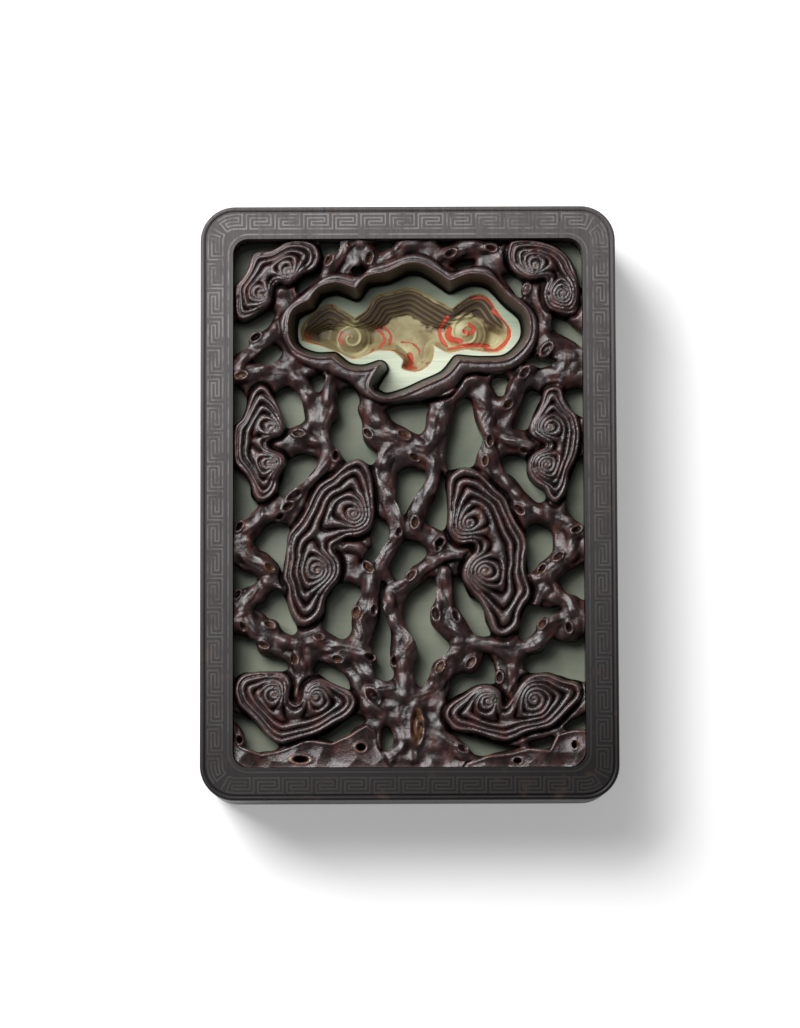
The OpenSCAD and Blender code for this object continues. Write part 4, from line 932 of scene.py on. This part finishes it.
# Maroon of the north and west terraces, partly the stone's layer and partly painted shade, then the red
# veins
MAROON_AND_PAINTED_SHADE, VEIN_DARK, VEIN_PALE = (44, 18, 13), (84, 30, 20), (176, 70, 52)
# Lip of the pool under the painted shadow of the collar, and lip in the open
LIP_NORTH_PAINTED_SHADOW, LIP_SOUTH = (104, 100, 72), (186, 120, 84)


def srgb(red, green, blue):
    """Linear colour of an 8-bit one, as the materials give their colours."""
    parts = [c / 255 for c in (red, green, blue)]
    return tuple(c / 12.92 if c < 0.04045 else ((c + 0.055) / 1.055) ** 2.4 for c in parts) + (1,)


def new_material(name, **settings):
    """Material with a Principled shader, whose plain values are set by name."""
    material = bpy.data.materials.new(name)
    material.use_nodes = True
    shader = material.node_tree.nodes["Principled BSDF"]
    for key, value in settings.items():
        shader.inputs[key.replace("_", " ")].default_value = value
    return material, material.node_tree, shader


def add_node(tree, kind, inputs=(), **settings):
    """Node with its settings, and with its inputs given as values or as sockets to link."""
    node = tree.nodes.new(kind)
    for key, value in settings.items():
        setattr(node, key, value)
    for key, value in dict(inputs).items():
        if isinstance(value, bpy.types.NodeSocket):
            tree.links.new(value, node.inputs[key])
        else:
            node.inputs[key].default_value = value
    return node


def speckle(tree, size, detail=4.0, stretch=(1, 1, 1), rough=0.55):
    """Noise with features of a size in metres, stretched along the axes."""
    scale = tuple(1 / (size * s) for s in stretch)
    place = add_node(tree, "ShaderNodeMapping", {"Vector": spot(tree), "Scale": scale}).outputs[0]
    inputs = {"Vector": place, "Scale": 1.0, "Detail": detail, "Roughness": rough}
    return add_node(tree, "ShaderNodeTexNoise", inputs).outputs["Fac"]


def ramp(tree, factor, stops):
    """Colour ramp through (place, colour) stops."""
    node = add_node(tree, "ShaderNodeValToRGB", {"Fac": factor})
    points = node.color_ramp.elements
    while len(points) < len(stops):
        points.new(0.5)
    for point, (place, colour) in zip(points, stops):
        point.position = place
        point.color = srgb(*colour)
    return node.outputs["Color"]


def mix(tree, factor, one, other):
    """Colour mixed from one to the other by a factor."""
    node = add_node(tree, "ShaderNodeMix", data_type="RGBA")
    for key, value in (("Factor_Float", factor), ("A_Color", one), ("B_Color", other)):
        socket = next(s for s in node.inputs if s.identifier == key)
        if isinstance(value, bpy.types.NodeSocket):
            tree.links.new(value, socket)
        else:
            socket.default_value = srgb(*value)
    return next(s for s in node.outputs if s.identifier == "Result_Color")


def spread(tree, value, low, high, to_low=0.0, to_high=1.0):
    """Value moved from one range to another, held within it."""
    inputs = {"Value": value, "From Min": low, "From Max": high, "To Min": to_low,
              "To Max": to_high}
    return add_node(tree, "ShaderNodeMapRange", inputs, clamp=True).outputs["Result"]


def tint(tree, base, colour, value, *ranges):
    """Base turned to a colour by a value moved from one range to another."""
    return mix(tree, spread(tree, value, *ranges), base, colour)


def spot(tree):
    """Place on the piece, in metres."""
    return add_node(tree, "ShaderNodeTexCoord").outputs["Object"]


def length_of(tree, vector):
    """Length of a vector."""
    return add_node(tree, "ShaderNodeVectorMath", {0: vector}, operation="LENGTH").outputs["Value"]


def noted(tree, name):
    """Point value kept in the mesh."""
    return add_node(tree, "ShaderNodeAttribute", attribute_name=name).outputs["Fac"]


def roughen(tree, shader, height, distance, strength=1.0, rough=None, low=0.3, high=0.5):
    """Bump from a height, and roughness from the same field or another."""
    bump = add_node(tree, "ShaderNodeBump",
                    {"Height": height, "Distance": distance, "Strength": strength})
    tree.links.new(bump.outputs["Normal"], shader.inputs["Normal"])
    rough = height if rough is None else rough
    tree.links.new(spread(tree, rough, 0.3, 0.7, low, high), shader.inputs["Roughness"])


def math_node(tree, operation, one, other):
    """Sum, product or other result of two values."""
    return add_node(tree, "ShaderNodeMath", {0: one, 1: other}, operation=operation).outputs[0]


def painted_sheen(tree):
    """Share of painted sheen, which makes wood and silver paler and greyer towards the far left corner of
    the lid, from 0 to 1.
    """
    parts = add_node(tree, "ShaderNodeSeparateXYZ", {"Vector": spot(tree)})
    across = math_node(tree, "MULTIPLY", parts.outputs["X"], -0.32)
    away = math_node(tree, "ADD", across, parts.outputs["Y"])
    return spread(tree, away, -0.078, 0.062)


def around(tree, x, y, reach_x, reach_y):
    """Distance from a place on the lid, in reaches of an ellipse."""
    inputs = {"Vector": spot(tree), "Location": (-x / reach_x, -y / reach_y, 0),
              "Scale": (1 / (reach_x * MM), 1 / (reach_y * MM), 0)}
    return length_of(tree, add_node(tree, "ShaderNodeMapping", inputs).outputs[0])


def carved_wood():
    """Dark polished hardwood with painted highlights on its ridges and painted shade in its recesses,
    orange where it is worn.
    """
    material, tree, shader = new_material("carved_wood", Specular_IOR_Level=0.42)
    grain = speckle(tree, 0.004, 5, (0.6, 1.6, 1))
    fine = speckle(tree, 0.0024, 7, rough=0.68)
    base = ramp(tree, grain, [
        (0.3, CARVING_DARK), (0.5, CARVING_MIDDLE), (0.72, CARVING_RED)])
    # Painted highlight on the ridges and painted shade in the recesses
    base = tint(tree, base, CARVING_PAINTED_HIGHLIGHT, noted(tree, "crest"), 0.1, 0.7, 0, 0.5)
    painted_recess_shade = spread(tree, noted(tree, "crest"), -0.5, 0.0)
    base = mix(tree, painted_recess_shade, CARVING_PAINTED_SHADE, base)
    worn = spread(tree, noted(tree, "wear"), 0.25, 0.95)
    patch = spread(tree, speckle(tree, 0.0022, 4), 0.4, 0.62)
    base = mix(tree, math_node(tree, "MULTIPLY", worn, patch), base, CARVING_WORN)
    tree.links.new(base, shader.inputs["Base Color"])
    roughen(tree, shader, fine, 0.0006, 0.6, grain, 0.27, 0.4)
    # Painted shade in the reflections as well: less specular in the recesses, more on the ridges
    dull = spread(tree, noted(tree, "crest"), -0.35, 0.1, 0.04, 0.8)
    tree.links.new(dull, shader.inputs["Specular IOR Level"])
    return material


def border_wood(name="border_wood", dark=BORDER_PAINTED_SHADE, pale=BORDER_PAINTED_SHEEN):
    """Close-grained hardwood with a dull polish, and a painted sheen that makes it paler and greyer
    towards the far left corner.
    """
    material, tree, shader = new_material(name, Specular_IOR_Level=0.2)
    long_grain = speckle(tree, 0.0016, 6, (0.35, 14, 1))
    # Painted sheen towards the far left corner, painted shade towards the near right
    base = mix(tree, painted_sheen(tree), dark, pale)
    base = tint(tree, base, STREAK, long_grain, 0.35, 0.75, 0, 0.45)
    blots = speckle(tree, 0.005, 6)
    base = tint(tree, base, BLOT, blots, 0.58, 0.75, 0, 0.3)
    pores = speckle(tree, 0.0006, 2, (0.6, 7, 1))
    base = tint(tree, base, PORE, pores, 0.66, 0.74, 0, 0.5)
    tree.links.new(base, shader.inputs["Base Color"])
    roughen(tree, shader, long_grain, 0.00005, 0.5, long_grain, 0.38, 0.5)
    return material


def silver():
    """Old silver wire, dull and blotched with tarnish, with a painted sheen that makes it paler towards
    the far left corner.
    """
    material, tree, shader = new_material("old_silver", Metallic=0.4, Specular_IOR_Level=0.25)
    tarnish = speckle(tree, 0.0035, 5)
    # Painted sheen on the wire towards the far left corner, painted shade towards the near right
    base = mix(tree, painted_sheen(tree), SILVER_PAINTED_SHADE, SILVER_PAINTED_SHEEN)
    base = tint(tree, base, TARNISH, tarnish, 0.42, 0.66, 0, 0.65)
    tree.links.new(base, shader.inputs["Base Color"])
    roughen(tree, shader, speckle(tree, 0.0005, 3), 0.00003, 0.5, tarnish, 0.4, 0.55)
    return material


def green_stone():
    """Celadon stone with red and olive layers that the pool is cut down through."""
    material, tree, shader = new_material("green_stone", Specular_IOR_Level=0.25)
    clouds = speckle(tree, 0.018, 5)
    brushed = speckle(tree, 0.0012, 4, (16, 0.4, 1))
    face = ramp(tree, clouds, [(0.3, FACE_DARK), (0.7, FACE_PALE)])
    face = tint(tree, face, FACE_NEAR, around(tree, 0, 43, 30, 15), 0.8, 1.2, 1, 0)
    # Painted shadow of the collar on the face and the lip north of the pool
    north = spread(tree, around(tree, -8, 55, 26, 9), 0.6, 1.3, 1, 0)
    face = mix(tree, north, face, FACE_NORTH_PAINTED_SHADOW)
    face = tint(tree, face, FACE_SOUTH, around(tree, 12, 35, 24, 9), 0.5, 1.3, 1, 0)
    face = tint(tree, face, FACE_BRUSHED, brushed, 0.35, 0.7, 0, 0.25)
    basin = ramp(tree, speckle(tree, 0.006, 5), [
        (0.3, BASIN_DARK), (0.5, BASIN_MIDDLE), (0.72, BASIN_PALE)])
    # Painted shade of the collar over the west of the basin
    basin = tint(tree, basin, BASIN_WEST_PAINTED_SHADE, around(tree, -18, 42, 12, 7), 0.5, 1.2, 0.8, 0)
    fleck = speckle(tree, 0.0006, 3)
    basin = tint(tree, basin, BASIN_FLECK, fleck, 0.55, 0.7, 0, 0.35)
    ragged = spread(tree, speckle(tree, 0.0018, 5), 0.3, 0.7, -0.3, 0.3)
    # Maroon terraces north and west: partly the stone's layer, partly painted shade of the collar
    dark = spread(tree, math_node(tree, "ADD", noted(tree, "dark"), ragged), 0.2, 0.6, 0, 0.96)
    basin = mix(tree, dark, basin, MAROON_AND_PAINTED_SHADE)
    basin = mix(tree, noted(tree, "pale"), basin, BASIN_LINE)
    red = spread(tree, math_node(tree, "ADD", noted(tree, "red"), ragged), 0.3, 0.7)
    vein = mix(tree, noted(tree, "red"), VEIN_DARK, VEIN_PALE)
    basin = mix(tree, red, basin, vein)
    # The lip is darker under the same painted shadow
    lip = mix(tree, north, LIP_SOUTH, LIP_NORTH_PAINTED_SHADOW)
    face = mix(tree, noted(tree, "lip"), face, lip)
    face = mix(tree, noted(tree, "pool"), face, basin)
    tree.links.new(face, shader.inputs["Base Color"])
    roughen(tree, shader, fleck, 0.00004, 0.4, clouds, 0.34, 0.46)
    return material


# ---- stage ----

PHOTO_W, PHOTO_H = 800, 1028
VIEW_CENTRE = Vector((-2.5, -3.2, LID_HIGH.z / MM)) * MM
VIEW_DISTANCE = 1.0
VIEW_TILT = math.radians(6.0)
VIEW_ROLL = math.radians(0.2)
VIEW_WIDTH = 0.1954

FLOOR_HALF = 3.0
FLOOR_SHADE = 0.8
FLOOR_GLOW = 0.32
SKY_LEVEL = 0.14


def make_camera():
    """Camera almost straight above the lid, leaning a little to the near side."""
    data = bpy.data.cameras.new("camera")
    camera = new_object("camera", data)
    back = Vector((0, -math.sin(VIEW_TILT), math.cos(VIEW_TILT)))
    camera.location = VIEW_CENTRE + VIEW_DISTANCE * back
    camera.rotation_euler = (VIEW_TILT, 0, -VIEW_ROLL)
    long_side = VIEW_WIDTH * PHOTO_H / PHOTO_W
    data.sensor_fit = "AUTO"
    data.sensor_width = 36.0
    data.lens = data.sensor_width * VIEW_DISTANCE / long_side
    data.clip_start, data.clip_end = 0.05, 20
    bpy.context.scene.camera = camera


def add_lamp(name, place, size, power):
    """Square soft lamp that faces the box."""
    data = bpy.data.lights.new(name, "AREA")
    data.size = size
    data.energy = power
    lamp = new_object(name, data)
    lamp.location = place
    lamp.rotation_euler = (-Vector(place)).to_track_quat("-Z", "Y").to_euler()


def seen_rays(tree):
    """One for rays that look at the background: camera, glossy and transmission rays."""
    path = add_node(tree, "ShaderNodeLightPath")
    seen = path.outputs["Is Camera Ray"]
    for name in ("Is Glossy Ray", "Is Transmission Ray"):
        seen = math_node(tree, "MAXIMUM", seen, path.outputs[name])
    return seen


def make_floor():
    """Plain white floor that keeps the shadow of the box."""
    corners = FLOOR_HALF * np.array([[-1, -1, 0], [1, -1, 0], [1, 1, 0], [-1, 1, 0]])
    mesh = mesh_from("floor", corners, np.array([[0, 1, 2, 3]]), np.zeros((0, 3), int))
    material, tree, shader = new_material(
        "white_floor", Roughness=0.9, Specular_IOR_Level=0.0,
        Base_Color=(FLOOR_SHADE, FLOOR_SHADE, FLOOR_SHADE, 1), Emission_Color=(1, 1, 1, 1))
    light = spread(tree, length_of(tree, spot(tree)), 0.2, 0.7, FLOOR_GLOW, 1.0)
    glow = math_node(tree, "MULTIPLY", seen_rays(tree), light)
    tree.links.new(glow, shader.inputs["Emission Strength"])
    mesh.materials.append(material)
    floor = new_object("floor", mesh)


def make_world():
    """Even, dim, pale surroundings."""
    world = bpy.data.worlds.new("surroundings")
    bpy.context.scene.world = world
    world.use_nodes = True
    background = world.node_tree.nodes["Background"]
    background.inputs["Color"].default_value = (1, 1, 1, 1)
    background.inputs["Strength"].default_value = SKY_LEVEL


def dress():
    """Makes the detailed pieces and gives every shown CAD node its material."""
    wood, border, wire, stone = carved_wood(), border_wood(), silver(), green_stone()
    x, y, level, outline, crest, wear = carve_board()
    mesh = relief_mesh("openwork_carving", x, y, BOARD_Z + level, np.full(x.shape, BOARD_Z),
                       outline, {"crest": crest, "wear": wear})
    add_piece("openwork_carving", mesh, wood, "lid", "wood_carving", "openwork_panel")

    x, y, level, floor, outline, notes = carve_stone()
    mesh = relief_mesh("cut_stone", x, y, level, floor, outline, notes)
    add_piece("cut_stone", mesh, stone, "stone", "green_stone", "inkstone")

    # The tray gets the same painted sheen and shade
    dark_wood = border_wood("tray_wood", TRAY_PAINTED_SHADE, TRAY_PAINTED_SHEEN)
    for name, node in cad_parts.items():
        if name.startswith("fret_wire") or name == "line_wire":
            chosen = wire
        elif name == "lid_frame":
            chosen = border
        elif name in ("openwork_panel", "inkstone"):
            continue
        else:
            chosen = dark_wood
        for slot in node.material_slots:
            slot.material = chosen


bpy.context.scene.view_settings.view_transform = "Standard"
make_camera()
make_floor()
make_world()
add_lamp("key", place=(-0.48, 0.48, 0.74), size=0.6, power=15.5)
add_lamp("sheen", place=(-0.22, 0.4, 1.05), size=0.4, power=2.4)
dress()
